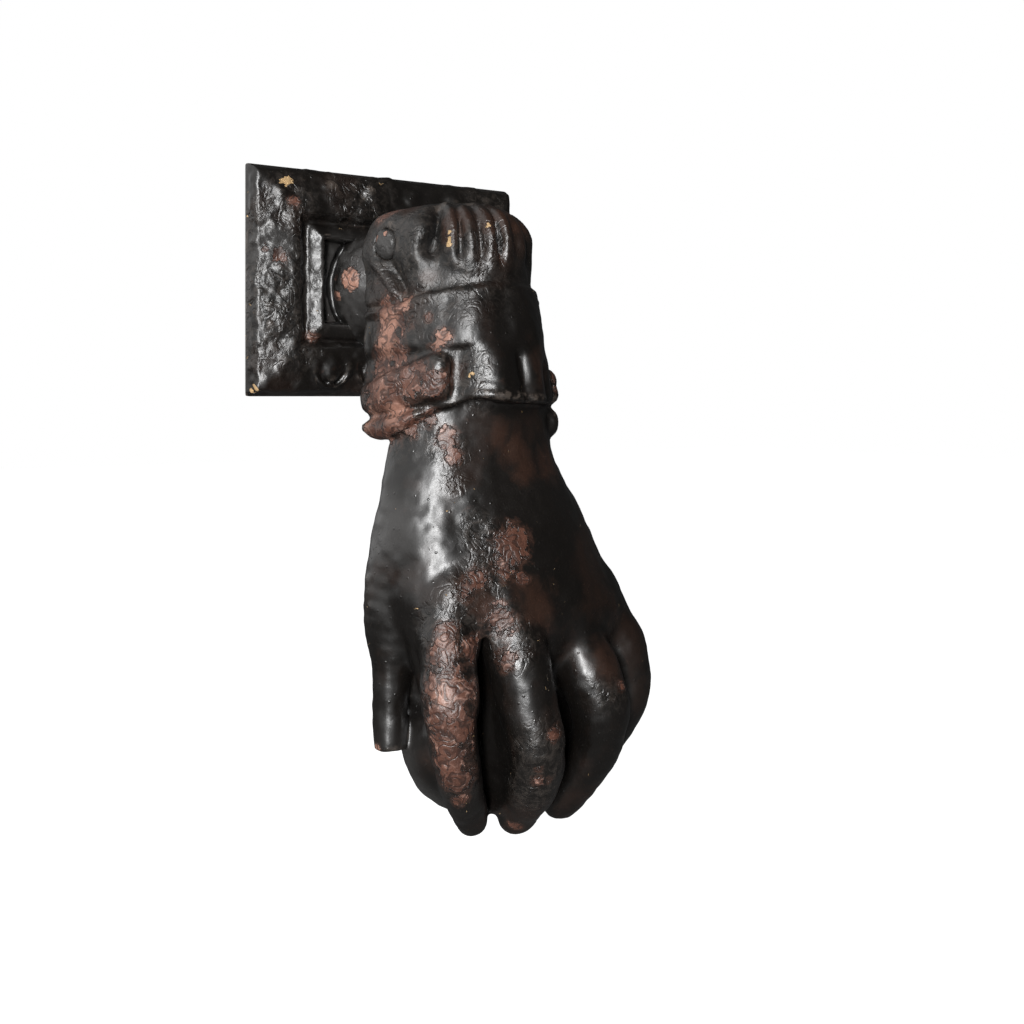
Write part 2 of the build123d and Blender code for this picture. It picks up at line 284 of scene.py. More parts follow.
def finger(joints, pieces_a_joint=4):
    """A bent rod on a smooth line through its joints."""
    joints = np.array(joints, float)
    stations = np.arange(len(joints))
    along = np.linspace(0, len(joints) - 1, pieces_a_joint * (len(joints) - 1) + 1)
    line = np.stack([flow(stations, joints[:, i], along) for i in range(4)], axis=1)

    def shape(x, out, z):
        nearest = rod_distance(x, out, z, line[0], line[1])
        for start, end in zip(line[1:], line[2:]):
            nearest = np.minimum(nearest, rod_distance(x, out, z, start, end))
        return nearest

    return shape


def room_round(joints, margin=7.0):
    """Two corners of the box that a finger needs in the mould."""
    joints = np.array(joints, float)
    reach = joints[:, 3].max() + margin
    return joints[:, :3].min(0) - reach, joints[:, :3].max(0) + reach


for joints in (INDEX, MIDDLE, RING, LITTLE):
    hand_mould.pour(finger(joints), *room_round(joints), blend=1.5)

whole_thumb = finger(THUMB)
hand_mould.pour(lambda x, out, z: within(whole_thumb(x, out, z), THUMB_END_Z - z),
                *room_round(THUMB), blend=2.2)
hand_mould.pour(finger(THUMB_WEB), *room_round(THUMB_WEB), blend=2.0)
print("fingers poured: 4, and a thumb that ends at z", THUMB_END_Z)

# %% Knuckles, and the swollen middle joints of the fingers that show them
KNUCKLES = (
    # x, out, z, radius
    (-12.6, 61.2, -75, 6.6), (-0.4, 63.8, -77, 7.0), (14.6, 62.4, -78, 7.0), (27.0, 57.6, -77, 6.4),
    (20.4, 67.2, -94.5, 6.7), (23.0, 68.2, -102, 6.6), (34.8, 60.2, -90, 5.9), (-16.8, 66.6, -95, 6.0),
)
KNUCKLE_LENGTH = 1.0
for x_at, out_at, z_at, radius in KNUCKLES:
    joint = ((x_at, out_at, z_at, radius), (x_at, out_at, z_at - KNUCKLE_LENGTH, radius))
    hand_mould.pour(finger(joint, 1), *room_round(joint), blend=3.0)
print("knuckles poured:", len(KNUCKLES))

# %% [markdown]
# ## The cuff
#
# The cuff is a D in section, flat towards the door. Cloth is shown in three layers: a gathered sleeve, a
# smooth band with a raised upper edge, and a turned frill whose two side lobes are thick folds. A point on
# the cuff is named by its angle from the front and its height, so a fold is a line in these two numbers.

# %% Cuff section
CUFF_BACK_OUT = 31.0
FRONT_SQUASH = 0.62
MM_A_DEGREE = 0.45


def softly_most(first, second, blend):
    """The larger of two distances, with the outer corner rounded."""
    return -softly_least(-first, -second, blend)


def around_cuff(x, out):
    """The angle of a point from the cuff's front, in degrees, negative on the left."""
    return np.degrees(np.arctan2(x, np.maximum(out - CUFF_BACK_OUT, 0.01) * FRONT_SQUASH))


def d_distance(x, out, half_width, depth, fullness):
    """Distance from a D with a straight back and a front between an oval and a box."""
    across = np.abs(x)
    along = np.maximum(out - CUFF_BACK_OUT, 0)
    size = ((across / half_width) ** fullness + (along / depth) ** fullness) ** (1 / fullness) + TINY
    return np.sqrt(across**2 + along**2 + TINY) * (1 - 1 / size)


def cuff_layer(half_width, depth, fullness, top, bottom, swell, corner):
    """A layer of the cuff: its D at each height, its top and bottom edges, and its folds."""

    def shape(x, out, z):
        angle = around_cuff(x, out)
        skin = d_distance(x, out, half_width(z), depth(z), fullness) - swell(angle, z)
        skin = softly_most(skin, z - top(angle), corner)
        skin = softly_most(skin, bottom(angle) - z, corner)
        return softly_most(skin, CUFF_BACK_OUT - out, 0.8)

    return shape


print("cuff's flat back is", CUFF_BACK_OUT, "mm out from the wall")

# %% [markdown]
# ### The gathered sleeve
#
# Thread pulls the cloth into pleats, deep and narrow at the top and gone before the band. The carver left
# the left cheek nearly smooth, with one slack fold that runs down from the pin to the band.

# %% Lines, fades and humps that shape the cloth


def line_through(stations, values):
    """A smooth line through a few values, to be read anywhere."""
    return lambda where: flow(stations, values, where)


def fade(value, start, end):
    """0 at the start, 1 at the end, and straight between them."""
    return np.clip((value - start) / (end - start), 0, 1)


def hump(value, middle, width, power=2):
    """1 at the middle, and nearly gone one and a half widths away. A higher power flattens its top."""
    return np.exp(-(((value - middle) / width) ** power))


print("fade and hump halfway:", float(fade(0.5, 0, 1)), round(float(hump(0.5, 0, 1)), 2))

# %% Sleeve with its pleats
PLEAT_GROOVES = (
    # angle, width in degrees, depth in mm
    (-42, 4.6, 2.4), (-28, 2.6, 2.1), (-15, 3.4, 2.0), (-1, 3.2, 2.4),
    (14, 4.2, 1.2), (30, 4.6, 1.5), (47, 5.0, 1.4), (66, 5.0, 1.6),
)
SLEEVE_FOLDS = (
    # places as angle and z, then width and height in mm
    (((-80, 1.6), (-73, -2.0), (-67, -5.6)), 0.9, 1.2),
    (((-74, 3.4), (-68, -0.6), (-61, -5.0)), 1.7, -2.3),
    (((-54, 9.0), (-55, 3.0), (-53, -2.6)), 3.0, 1.3),
    (((-40, 13.0), (-43, 8.0), (-47, 4.0)), 1.9, -2.2),
    (((-84, 13.0), (-66, 12.0), (-56, 10.5)), 2.6, 0.7),
    (((-30, 0.6), (-16, -0.6), (4, -1.0)), 2.0, 0.7),
    (((16, 0.0), (34, -2.0)), 2.4, 0.6),
    (((48, 15.0), (60, 8.0)), 5.6, -2.2),
    (((66, 1.0), (68, -5.0)), 2.6, 0.9),
    (((80, 12.0), (84, 2.0), (82, -5.0)), 2.2, -1.0),
)


def fold(angle, z, places, width, height):
    """A raised or sunk line across the cloth, highest on the line and gone at its width."""
    across = angle * MM_A_DEGREE
    nearest = np.full(np.broadcast(across, z).shape, FAR)
    for (angle_a, z_a), (angle_b, z_b) in zip(places, places[1:]):
        run_across = (angle_b - angle_a) * MM_A_DEGREE
        run_z = z_b - z_a
        from_across = across - angle_a * MM_A_DEGREE
        share = (from_across * run_across + (z - z_a) * run_z) / (run_across**2 + run_z**2)
        share = np.clip(share, 0, 1)
        apart = np.hypot(from_across - share * run_across, z - z_a - share * run_z)
        nearest = np.minimum(nearest, apart)
    return height * hump(nearest, 0, width)


def add_folds(swell, folds, angle, z):
    """A layer's swell with a list of folds laid on it."""
    for places, width, height in folds:
        swell = swell + fold(angle, z, places, width, height)
    return swell


def sleeve_swell(angle, z):
    """The pleats and the slack folds of the sleeve."""
    swell = 0.9 * sleeve_bulge(z)
    swell = swell + 0.5 * np.sin(angle * 0.16 + 1.0) * fade(z, 6, 14)
    swell = swell + 0.9 * fade(angle, -60, -80) * fade(z, 12, 4)
    for groove, width, depth in PLEAT_GROOVES:
        swell = swell - depth * pleat_strength(z) * hump(angle, groove, width)
    return add_folds(swell, SLEEVE_FOLDS, angle, z)


pleat_strength = line_through((-3, 0, 3.5, 12, 17), (0, 0.2, 1, 1, 0.9))
sleeve_bulge = line_through((-5, -1, 4, 13, 17), (0.2, 0.1, 1, 1, 0.6))
sleeve_scale = line_through((-9, -2, 3, 8.5, 12.5, 15.5, 17.4),
                            (1.0, 0.975, 0.985, 0.955, 0.87, 0.72, 0.52))
sleeve_top = line_through((-90, -50, -34, -24, -8, 6, 30, 60, 90),
                          (15.4, 16.2, 16.6, 16.0, 16.4, 15.7, 15.0, 13.6, 13.0))
sleeve = cuff_layer(
    half_width=lambda z: 20.0 * sleeve_scale(z), depth=lambda z: 31.0 * sleeve_scale(z), fullness=2.0,
    top=sleeve_top, bottom=lambda angle: -9.0, swell=sleeve_swell, corner=3.0)
hand_mould.pour(sleeve, (-27, 27, -12), (27, 68, 20))
print("pleat grooves:", len(PLEAT_GROOVES), "and slack folds:", len(SLEEVE_FOLDS))

# %% [markdown]
# ### The band and the frill
#
# The band is a smooth strip with a raised edge that dips towards the door. The frill comes out below it:
# flat pleats in front, and on each side a thick lobe, folded back once, that hangs lower than the rest.

# %% Band
BAND_FOLDS = (
    (((-20, -9.0), (-24, -16.0)), 3.4, 0.35),
    (((-36, -8.0), (-40, -15.0)), 1.6, -0.5),
    (((-2, -8.0), (-6, -17.0)), 2.2, -0.5),
    (((14, -7.0), (20, -17.0)), 3.0, 0.5),
    (((44, -8.0), (46, -18.0)), 2.4, -0.7),
    (((-84, -12.0), (-60, -14.0)), 1.8, -0.6),
    (((-80, -17.0), (-56, -18.0)), 1.8, 0.6),
)
BAND_LEVELS = (-31, -19, -7, -4)
BAND_FULLNESS = 2.3
band_half_width = line_through(BAND_LEVELS, (20.9, 20.4, 20.1, 20.0))
band_top = line_through((-90, -66, -47, -20, 10, 32, 60, 90),
                        (-9.4, -8.6, -6.2, -4.6, -4.0, -4.2, -7.4, -9.0))
band_bottom = line_through((-90, -40, -20, 10, 40, 90), (-20.5, -19.0, -18.6, -19.4, -23.4, -23.0))


def band_swell(angle, z):
    """A raised bead along the upper edge, worn down in front, and a soft bulge below it."""
    below_edge = band_top(angle) - z
    crisp = 0.25 + 0.75 * fade(angle, -36, -46) + 0.4 * fade(angle, 34, 48)
    edge = 0.5 * crisp * hump(below_edge, 0.9, 1.0)
    bulge = 0.6 * hump(below_edge, 8.0, 4.5)
    dents = add_folds(0.0, BAND_FOLDS, angle, z)
    worn = 0.5 * (1 - np.clip(crisp, 0, 1)) * hump(below_edge, 0, 2.5)
    return edge + bulge + dents - worn


band = cuff_layer(
    half_width=band_half_width, depth=line_through(BAND_LEVELS, (36.4, 34.6, 31.6, 31.4)),
    fullness=BAND_FULLNESS, top=band_top, bottom=band_bottom, swell=band_swell, corner=1.1)
hand_mould.pour(band, (-28, 27, -28), (28, 72, 0), blend=1.0)
band_ends = [float(band_top(np.array(angle))) for angle in (-90.0, -45.0)]
print("band's upper edge runs from z", band_ends[0], "to", band_ends[1])

# %% Frill in front
FRILL_FOLDS = (
    (((-12, -22.0), (-10, -27.0)), 5.2, 1.5),
    (((-30, -19.0), (-33, -30.0)), 2.4, -1.1),
    (((6, -21.0), (10, -30.0)), 1.7, -1.3),
    (((18, -22.0), (20, -28.0)), 3.0, 1.0),
    (((30, -20.0), (33, -30.0)), 1.6, -1.0),
    (((42, -22.0), (44, -29.0)), 3.0, 0.9),
    (((-24, -29.8), (-6, -30.2), (12, -30.6), (30, -30.8)), 1.4, 0.7),
    (((-20, -27.6), (0, -28.4), (20, -28.6)), 1.0, -0.5),
)


def frill_swell(angle, z):
    """Soft folds of uneven width that end in a thin hem."""
    swell = -0.7 + 0.5 * fade(z, -18, -26)
    return add_folds(swell, FRILL_FOLDS, angle, z)


frill = cuff_layer(
    half_width=band_half_width, depth=line_through(BAND_LEVELS, (36.0, 34.8, 31.6, 31.4)),
    fullness=BAND_FULLNESS, top=lambda angle: -15.0 + 0.0 * angle,
    bottom=line_through((-90, -36, -22, 0, 24, 90), (-31.0, -32.2, -30.4, -31.2, -31.6, -31.6)),
    swell=frill_swell, corner=1.3)
hand_mould.pour(frill, (-28, 27, -36), (28, 72, -12), blend=0.8)
print("frill's front folds:", len(FRILL_FOLDS))

# %% [markdown]
# ### The side lobes
#
# Each lobe is a thick cloth turned back on itself. Its upper roll hangs over a crease, and the hem comes out
# below the crease as a smaller roll. Both run round the side of the cuff, widest at the middle of the
# cheek, and the front end is as round as the edge of a blanket. The crease falls towards the door.

# %% Side lobes of the frill
LOBE_CENTRE_OUT = 42.0
LOBE_HALF_WIDTH = 21.6
LOBE_HALF_DEPTH = 24.6
LOBE_ROLL = 1.9
CREASE_DEPTH = 1.6
CREASE_WIDTH = 1.1
THIN_HEM = 0.8
FULL_HEM = 2.3
LOBE_ANGLES = (30, 40, 50, 62, 76, 90)
LEFT_LOBE = {"front": 35, "top": (-19.0, -19.6, -21.0, -23.4, -25.6, -26.6),
             "crease": (-31.0, -31.4, -32.2, -33.4, -34.4, -35.0),
             "hem": (-31.4, -32.4, -35.0, -38.8, -40.2, -39.6)}
RIGHT_LOBE = {"front": 48, "top": (-20.0, -20.6, -22.0, -24.0, -25.6, -26.6),
              "crease": (-31.6, -31.6, -32.0, -32.6, -33.0, -33.6),
              "hem": (-32.0, -35.0, -39.6, -40.6, -40.6, -40.2)}
LOBE_FOLDS = (
    (((50, -22.5), (56, -28.0), (60, -31.0)), 1.3, -0.8),
    (((66, -24.0), (70, -30.0)), 2.2, 0.6),
    (((80, -27.0), (76, -32.0)), 1.4, -0.7),
    (((70, -36.0), (78, -39.0)), 1.2, -0.5),
)


def lobe_layer(side, lobe):
    """One lobe, on the left with side -1 or on the right with side 1."""

    def shape(x, out, z):
        turned = side * around_cuff(x, out)
        top, crease, hem = (flow(LOBE_ANGLES, lobe[edge], turned) for edge in ("top", "crease", "hem"))
        reach = LOBE_ROLL * hump(z, (top + crease) / 2, (top - crease) / 2, 4)
        reach = reach - CREASE_DEPTH * hump(z, crease, CREASE_WIDTH)
        hem_half = np.maximum((crease - hem) / 2, THIN_HEM)
        hem_roll = LOBE_ROLL * hump(z, (crease + hem) / 2, hem_half)
        reach = reach + hem_roll * fade(hem_half, THIN_HEM, FULL_HEM)
        reach = add_folds(reach, LOBE_FOLDS, turned, z)
        skin = oval_distance(x, out - LOBE_CENTRE_OUT, LOBE_HALF_WIDTH, LOBE_HALF_DEPTH) - reach
        skin = softly_most(skin, z - top, 2.4)
        skin = softly_most(skin, hem - z, 2.6)
        skin = softly_most(skin, CUFF_BACK_OUT - out, 0.8)
        front_end = (lobe["front"] - turned) * MM_A_DEGREE
        return softly_most(skin, front_end, 4.5)

    return shape


hand_mould.pour(lobe_layer(-1, LEFT_LOBE), (-29, 27, -45), (0, 72, -13), blend=0.7)
hand_mould.pour(lobe_layer(1, RIGHT_LOBE), (0, 27, -45), (29, 72, -13), blend=0.7)
print("lobes hang to z", min(LEFT_LOBE["hem"]))

# %% [markdown]
# ### Hollow, slot and pin holes
#
# The cuff is hollow and open towards the door, because the plate's tongue swings inside it. A slot in its
# top lets the hand be lifted, and the pin runs in a bore with round seats for its ends.

# %% Hollow of the cuff
PIVOT_OUT = 40.0
PIVOT_Z = 6.0
HOLLOW_HALF_WIDTH = 15.5
HOLLOW_DEPTH = 20.0
HOLLOW_TOP_Z = 12.6
HOLLOW_END_Z = -26.0
SLOT_HALF_WIDTH = 5.7
SLOT_END_OUT = 44.0


def hollow(x, out, z):
    """The hollow of the cuff, an upright oval well."""
    well = oval_distance(x, out - CUFF_BACK_OUT, HOLLOW_HALF_WIDTH, HOLLOW_DEPTH)
    return within(well, z - HOLLOW_TOP_Z, HOLLOW_END_Z - z)


def slot(x, out, z):
    """The cut in the cuff's top that the tongue passes through."""
    return within(np.abs(x) - SLOT_HALF_WIDTH, out - SLOT_END_OUT, PIVOT_Z - z)


hand_mould.carve(hollow, (-20, 27, -30), (20, 56, 18), blend=0.8)
hand_mould.carve(slot, (-8, 27, 3), (8, 48, 22), blend=0.8)
print("the slot is", 2 * SLOT_HALF_WIDTH, "mm wide")

# %% Pin bore and the seats for the pin's ends
HAND_BORE_RADIUS = 3.02
PIN_END_RADIUS = 3.6
SEAT_GAP = 0.05
PIN_SEAT_X = 17.6


def across_bore(radius, start_x):
    """A round hole along x, from a distance to each side outwards."""

    def shape(x, out, z):
        round_hole = np.hypot(out - PIVOT_OUT, z - PIVOT_Z) - radius
        return within(round_hole, start_x - np.abs(x))

    return shape


hand_mould.carve(across_bore(HAND_BORE_RADIUS, 0), (-29, 34, 0), (29, 46, 12))
hand_mould.carve(across_bore(PIN_END_RADIUS + SEAT_GAP, PIN_SEAT_X), (-29, 33, -1), (29, 47, 13), blend=0.3)
print("pin axis:", PIVOT_OUT, "mm out,", PIVOT_Z, "mm up")

# %% [markdown]
# ## From the mould to a mesh
#
# OpenVDB, which comes with Blender, draws a skin of four-sided faces at distance zero. The skin is then
# roughened as paint and rust do it: broad lumps from many coats, and small pits.

# %% Skin of a mould


def draw_skin(mould, name):
    """A mesh object of the mould's skin, in metres and in the frame's axes."""
    grid = openvdb.FloatGrid(FAR)
    grid.copyFromArray(mould.depth)
    points, faces = grid.convertToQuads(0.0)
    places = mould.low + points * mould.step
    mesh = bpy.data.meshes.new(name)
    corners = np.stack([places[:, 0], -places[:, 1], places[:, 2]], axis=1) / 1000
    mesh.from_pydata(corners.tolist(), [], faces.tolist())
    mesh.polygons.foreach_set("use_smooth", np.ones(len(mesh.polygons), bool))
    piece = bpy.data.objects.new(name, mesh)
    bpy.context.scene.collection.objects.link(piece)
    return piece


hand_casting = draw_skin(hand_mould, "hand_casting")
print("hand casting:", len(hand_casting.data.polygons), "faces")

# %% Turn the faces outwards


def read_threes(items, what, kind=float):
    """Three numbers for each item of a mesh, as the rows of an array."""
    values = np.empty(len(items) * 3, kind)
    items.foreach_get(what, values)
    return values.reshape(-1, 3)


def volume_of(mesh):
    """Enclosed volume in cubic millimetres. It is below zero when the faces point inwards."""
    mesh.calc_loop_triangles()
    corners = read_threes(mesh.vertices, "co")
    triangles = read_threes(mesh.loop_triangles, "vertices", int)
    a, b, c = (corners[triangles[:, i]] for i in range(3))
    return float((a * np.cross(b, c)).sum() / 6 * 1e9)


def face_outwards(piece):
    """Turns every face round where the skin came out inside out."""
    if volume_of(piece.data) < 0:
        piece.data.flip_normals()
    return volume_of(piece.data)


print("hand casting encloses", round(face_outwards(hand_casting)), "mm3")

# %% [markdown]
# ### Lumps and pits
#
# Random values on a coarse lattice, smoothed between its points, make lumps of any size. The seed is fixed,
# so every run gives the same casting.

# %% Random lumps
LATTICE = 32


def between_points(cell, share, read):
    """Blends the eight values about each place, by how near it is to each of them."""
    total = np.zeros(len(cell))
    for corner in np.ndindex(2, 2, 2):
        nearness = np.where(corner, share, 1 - share).prod(axis=1)
        total = total + nearness * read(*(cell + corner).T)
    return total


def lumps(places, size, seed):
    """Smooth random values between -1 and 1 that change over a given size in mm."""
    rng = np.random.default_rng(seed)
    lattice = rng.uniform(-1, 1, (LATTICE, LATTICE, LATTICE))
    scaled = places / size
    cell = np.floor(scaled).astype(int)
    share = scaled - cell
    share = share * share * (3 - 2 * share)
    return between_points(cell, share, lambda *at: lattice[tuple(i % LATTICE for i in at)])


def vertex_places(piece):
    """Each vertex in millimetres as x, out and z."""
    return read_threes(piece.data.vertices, "co") * (1000, -1000, 1000)


def roughen(piece, amounts, where=1.0):
    """Moves the skin in and out by lumps of several sizes, each a size and a height in mm."""
    places = vertex_places(piece)
    normals = read_threes(piece.data.vertices, "normal")
    moved = np.zeros(len(places))
    for seed, (size, height) in enumerate(amounts):
        moved = moved + height * lumps(places, size, seed)
    corners = places * (0.001, -0.001, 0.001) + normals * (moved * where / 1000)[:, None]
    piece.data.vertices.foreach_set("co", corners.ravel())
    piece.data.update()
    return float(np.abs(moved).max())


hand_moved = roughen(hand_casting, ((9, 0.3), (4.2, 0.24), (1.9, 0.13)))
print("hand moved by up to", round(hand_moved, 2), "mm")

# %% [markdown]
# ## The pivot pin
#
# The pin is a bar of soft iron. Its ends were hammered over in their seats, which spreads them unevenly, and
# paint has rounded them since.

# %% Peened pin
PIN_RADIUS = 3.0
PIN_END_X = 20.5
PIN_BAR_END_X = PIN_SEAT_X + 0.3
DOME_CURVE = 0.055
OUT_OF_ROUND = 1.06
pin_mould = Mould((-22, 34.5, 0.5), (22, 45.5, 11.5), 0.25)


def pin_bar(x, out, z):
    """The round bar between the two seats."""
    return within(np.hypot(out - PIVOT_OUT, z - PIVOT_Z) - PIN_RADIUS, np.abs(x) - PIN_BAR_END_X)


def peened_end(x, out, z):
    """A low dome at each end of the bar, hammered out of round and a little to one side."""
    from_axis = np.hypot(out - PIVOT_OUT, (z - PIVOT_Z) * OUT_OF_ROUND)
    lean = 0.10 * (out - PIVOT_OUT) - 0.06 * (z - PIVOT_Z)
    dome = np.abs(x) - PIN_END_X + DOME_CURVE * from_axis**2 + lean
    return within(softly_most(from_axis - PIN_END_RADIUS, dome, 0.9), PIN_SEAT_X - np.abs(x))


pin_mould.pour(pin_bar)
pin_mould.pour(peened_end, blend=0.2)
peened_pin = draw_skin(pin_mould, "peened_pin")
face_outwards(peened_pin)
at_the_ends = fade(np.abs(vertex_places(peened_pin)[:, 0]), PIN_SEAT_X + 0.4, PIN_SEAT_X + 1.0)
roughen(peened_pin, ((3.0, 0.5), (1.3, 0.2)), where=at_the_ends)
print("pin:", len(peened_pin.data.polygons), "faces")

# %% [markdown]
# ## The wall plate
#
# A traditional moulding frames the plate: a sloping border with eggs, a groove, a raised bead and a sunk
# field with a domed boss. The profile depends only on the distance from the plate's edge, so the mitred
# corners come by themselves.

# %% Plate profile
PLATE_WIDTH = 79.0
PLATE_HEIGHT = 60.0
EDGE_INSET = 1.2
EDGE_THICKNESS = 4.4
PROFILE_INSET = (0, 0.9, 1.8, 4, 8, 10.6, 12.6, 13.6, 14.4, 15.0, 15.6, 16.6, 17.6, 18.4, 18.9, 19.5, 40)
PROFILE_OUT = (3.0, 4.3, 4.9, 5.5, 6.8, 7.4, 7.3, 6.3, 5.4, 5.5, 6.2, 6.9, 7.5, 7.9, 7.4, 4.3, 4.2)
PROFILE_PLACES = np.linspace(-3, 40, 431)


def rounded_profile():
    """The profile with its corners rounded by a narrow bell."""
    profile = np.interp(PROFILE_PLACES, PROFILE_INSET, PROFILE_OUT)
    bell = np.exp(-(np.linspace(-2, 2, 9) ** 2))
    return np.convolve(np.pad(profile, 4, mode="edge"), bell / bell.sum(), mode="valid")


profile = rounded_profile()
profile_slope = np.gradient(profile, PROFILE_PLACES)


def plate_slab(x, out, z):
    """The plate without its boss, the profile mitred at the corners."""
    inset = softly_least(PLATE_WIDTH / 2 - np.abs(x), PLATE_HEIGHT / 2 - np.abs(z), 0.8)
    top = np.interp(inset, PROFILE_PLACES, profile)
    steep = np.sqrt(1 + np.interp(inset, PROFILE_PLACES, profile_slope) ** 2)
    front = (out - top) / steep
    side = EDGE_INSET / EDGE_THICKNESS * out - inset
    return softly_most(softly_most(front, side, 1.0), -out, 0.5)


plate_mould = Mould((-42, -3, -33), (42, 50, 33), plate_step)
plate_mould.pour(plate_slab, (-42, -3, -33), (42, 12, 33))
print("plate mould:", plate_mould.depth.shape, "points")

# %% [markdown]
# ### Egg moulding
#
# The eggs repeat at one pitch along the four sides, so Geometry Nodes set them out: points on a line, an
# egg in its shell on each point, then the row is turned to its side of the plate. The tree has named inputs
# for the sizes, and ends in real geometry with a material.

# %% Node trees, built step by step


class Steps:
    """A node tree that is built from top to bottom, each step handing its output to the next."""

    def __init__(self, tree):
        self.tree = tree

    def fill(self, socket, value):
        """Gives a socket a value of its own, or another node's output."""
        if isinstance(value, bpy.types.NodeSocket):
            self.tree.links.new(value, socket)
        else:
            socket.default_value = value

    def step(self, kind, settings=(), **sockets):
        """One node. Its sockets go by name, or by number as in n0, and a list fills one of them in turn."""
        node = self.tree.nodes.new(kind)
        for name, value in dict(settings).items():
            setattr(node, name, value)
        for name, value in sockets.items():
            key = int(name[1:]) if name[0] == "n" and name[1:].isdigit() else name.replace("_", " ")
            for item in value if isinstance(value, list) else [value]:
                self.fill(node.inputs[key], item)
        return node

    def made(self, kind, settings=(), **sockets):
        """The first output of one node."""
        return self.step(kind, settings, **sockets).outputs[0]

    def math(self, operation, *values):
        """Values subtracted, compared or otherwise worked out."""
        numbered = {f"n{i}": value for i, value in enumerate(values)}
        return self.made("ShaderNodeMath", {"operation": operation}, **numbered)

    def times(self, first, second):
        """Two values multiplied."""
        return self.math("MULTIPLY", first, second)

    def plus(self, first, second):
        """Two values added."""
        return self.math("ADD", first, second)

    def most(self, first, second):
        """The larger of two values."""
        return self.math("MAXIMUM", first, second)


print("steps can fill sockets, multiply, add and compare")

# %% Geometry Nodes with named inputs


class Pattern(Steps):
    """A Geometry Nodes tree with named sizes, which ends in real geometry with a material."""

    def __init__(self, name, sizes):
        super().__init__(bpy.data.node_groups.new(name, "GeometryNodeTree"))
        face = self.tree.interface
        for size, default in sizes.items():
            kind = "NodeSocketInt" if isinstance(default, int) else "NodeSocketFloat"
            face.new_socket(size, in_out="INPUT", socket_type=kind).default_value = default
        face.new_socket("Material", in_out="INPUT", socket_type="NodeSocketMaterial")
        face.new_socket("Geometry", in_out="OUTPUT", socket_type="NodeSocketGeometry")
        self.given = self.step("NodeGroupInput").outputs

    def vector(self, x, y, z):
        """Three values as one place or scale."""
        return self.made("ShaderNodeCombineXYZ", n0=x, n1=y, n2=z)

    def finish(self, geometry):
        """Makes instances real, gives them the material and hands the tree back."""
        real = self.made("GeometryNodeRealizeInstances", Geometry=geometry)
        finished = self.made("GeometryNodeSetMaterial", Geometry=real, Material=self.given["Material"])
        self.step("NodeGroupOutput", Geometry=finished)
        return self.tree


print("a pattern ends in Realize Instances and Set Material")

# %% Tree for one row of eggs
EGG_SIZES = {"Pitch": 12.0, "Egg Width": 5.4, "Egg Length": 7.4, "Egg Height": 1.6, "Shell Width": 9.6,
             "Shell Thickness": 1.3, "From Centre": 22.6, "Turn": 0.0, "Count": 4}


def egg(row):
    """A sphere pulled to the egg's width, height and length."""
    sphere = row.made("GeometryNodeMeshUVSphere", Segments=20, Rings=12, Radius=0.5)
    depth = row.times(row.given["Egg Height"], 2.0)
    scale = row.vector(row.given["Egg Width"], depth, row.given["Egg Length"])
    return row.made("GeometryNodeTransform", Geometry=sphere, Scale=scale)


def shell(row):
    """More than half an oval of round cord about the egg, open at one end."""
    arc = row.made("GeometryNodeCurveArc", Resolution=22, Radius=0.5, Start_Angle=radians(160),
                   Sweep_Angle=radians(220))
    width = row.given["Shell Width"]
    scale = row.vector(width, row.times(width, 1.02), 1.0)
    oval = row.made("GeometryNodeTransform", Geometry=arc, Rotation=(pi / 2, 0, 0), Scale=scale)
    cord_radius = row.times(row.given["Shell Thickness"], 0.5)
    cord = row.made("GeometryNodeCurvePrimitiveCircle", Resolution=8, Radius=cord_radius)
    return row.made("GeometryNodeCurveToMesh", Curve=oval, Profile_Curve=cord, Fill_Caps=True)


def egg_row_tree():
    """A row of eggs in shells along x, pushed out from the centre and turned to its side."""
    row = Pattern("egg_row", EGG_SIZES)
    given = row.given
    motif = row.made("GeometryNodeJoinGeometry", Geometry=[egg(row), shell(row)])
    gaps = row.math("SUBTRACT", given["Count"], 1)
    start_x = row.times(row.times(gaps, given["Pitch"]), -0.5)
    start = row.vector(start_x, 0.0, row.times(given["From Centre"], -1.0))
    points = row.made("GeometryNodeMeshLine", Count=given["Count"], Start_Location=start,
                      Offset=row.vector(given["Pitch"], 0.0, 0.0))
    placed = row.made("GeometryNodeInstanceOnPoints", Points=points, Instance=motif)
    turn = row.vector(0.0, given["Turn"], 0.0)
    return row.finish(row.made("GeometryNodeTransform", Geometry=placed, Rotation=turn))


egg_tree = egg_row_tree()
print("egg tree inputs:", [item.name for item in egg_tree.interface.items_tree if item.in_out == "INPUT"])

# %% Set the four rows out
EGG_FROM_EDGE = 7.4
EGG_BED_OUT = 6.2
WORN_BED_OUT = 5.7
WORN = {"Egg Height": 1.2, "Shell Width": 4.6, "Shell Thickness": 0.4}
blank_material = bpy.data.materials.new("blank")


def tree_mesh(tree, name, sizes):
    """Corners and triangles that a node tree makes with these sizes, read as a plain mesh."""
    holder = bpy.data.objects.new(name, bpy.data.meshes.new(name))
    bpy.context.scene.collection.objects.link(holder)
    modifier = holder.modifiers.new(name, "NODES")
    modifier.node_group = tree
    inputs = {"Material": blank_material, **sizes}
    for item in tree.interface.items_tree:
        if item.in_out == "INPUT" and item.name in inputs:
            modifier[item.identifier] = inputs[item.name]
    graph = bpy.context.evaluated_depsgraph_get()
    mesh = bpy.data.meshes.new_from_object(holder.evaluated_get(graph))
    mesh.calc_loop_triangles()
    corners = read_threes(mesh.vertices, "co")
    triangles = read_threes(mesh.loop_triangles, "vertices", int)
    bpy.data.objects.remove(holder)
    bpy.data.meshes.remove(mesh)
    return corners, triangles


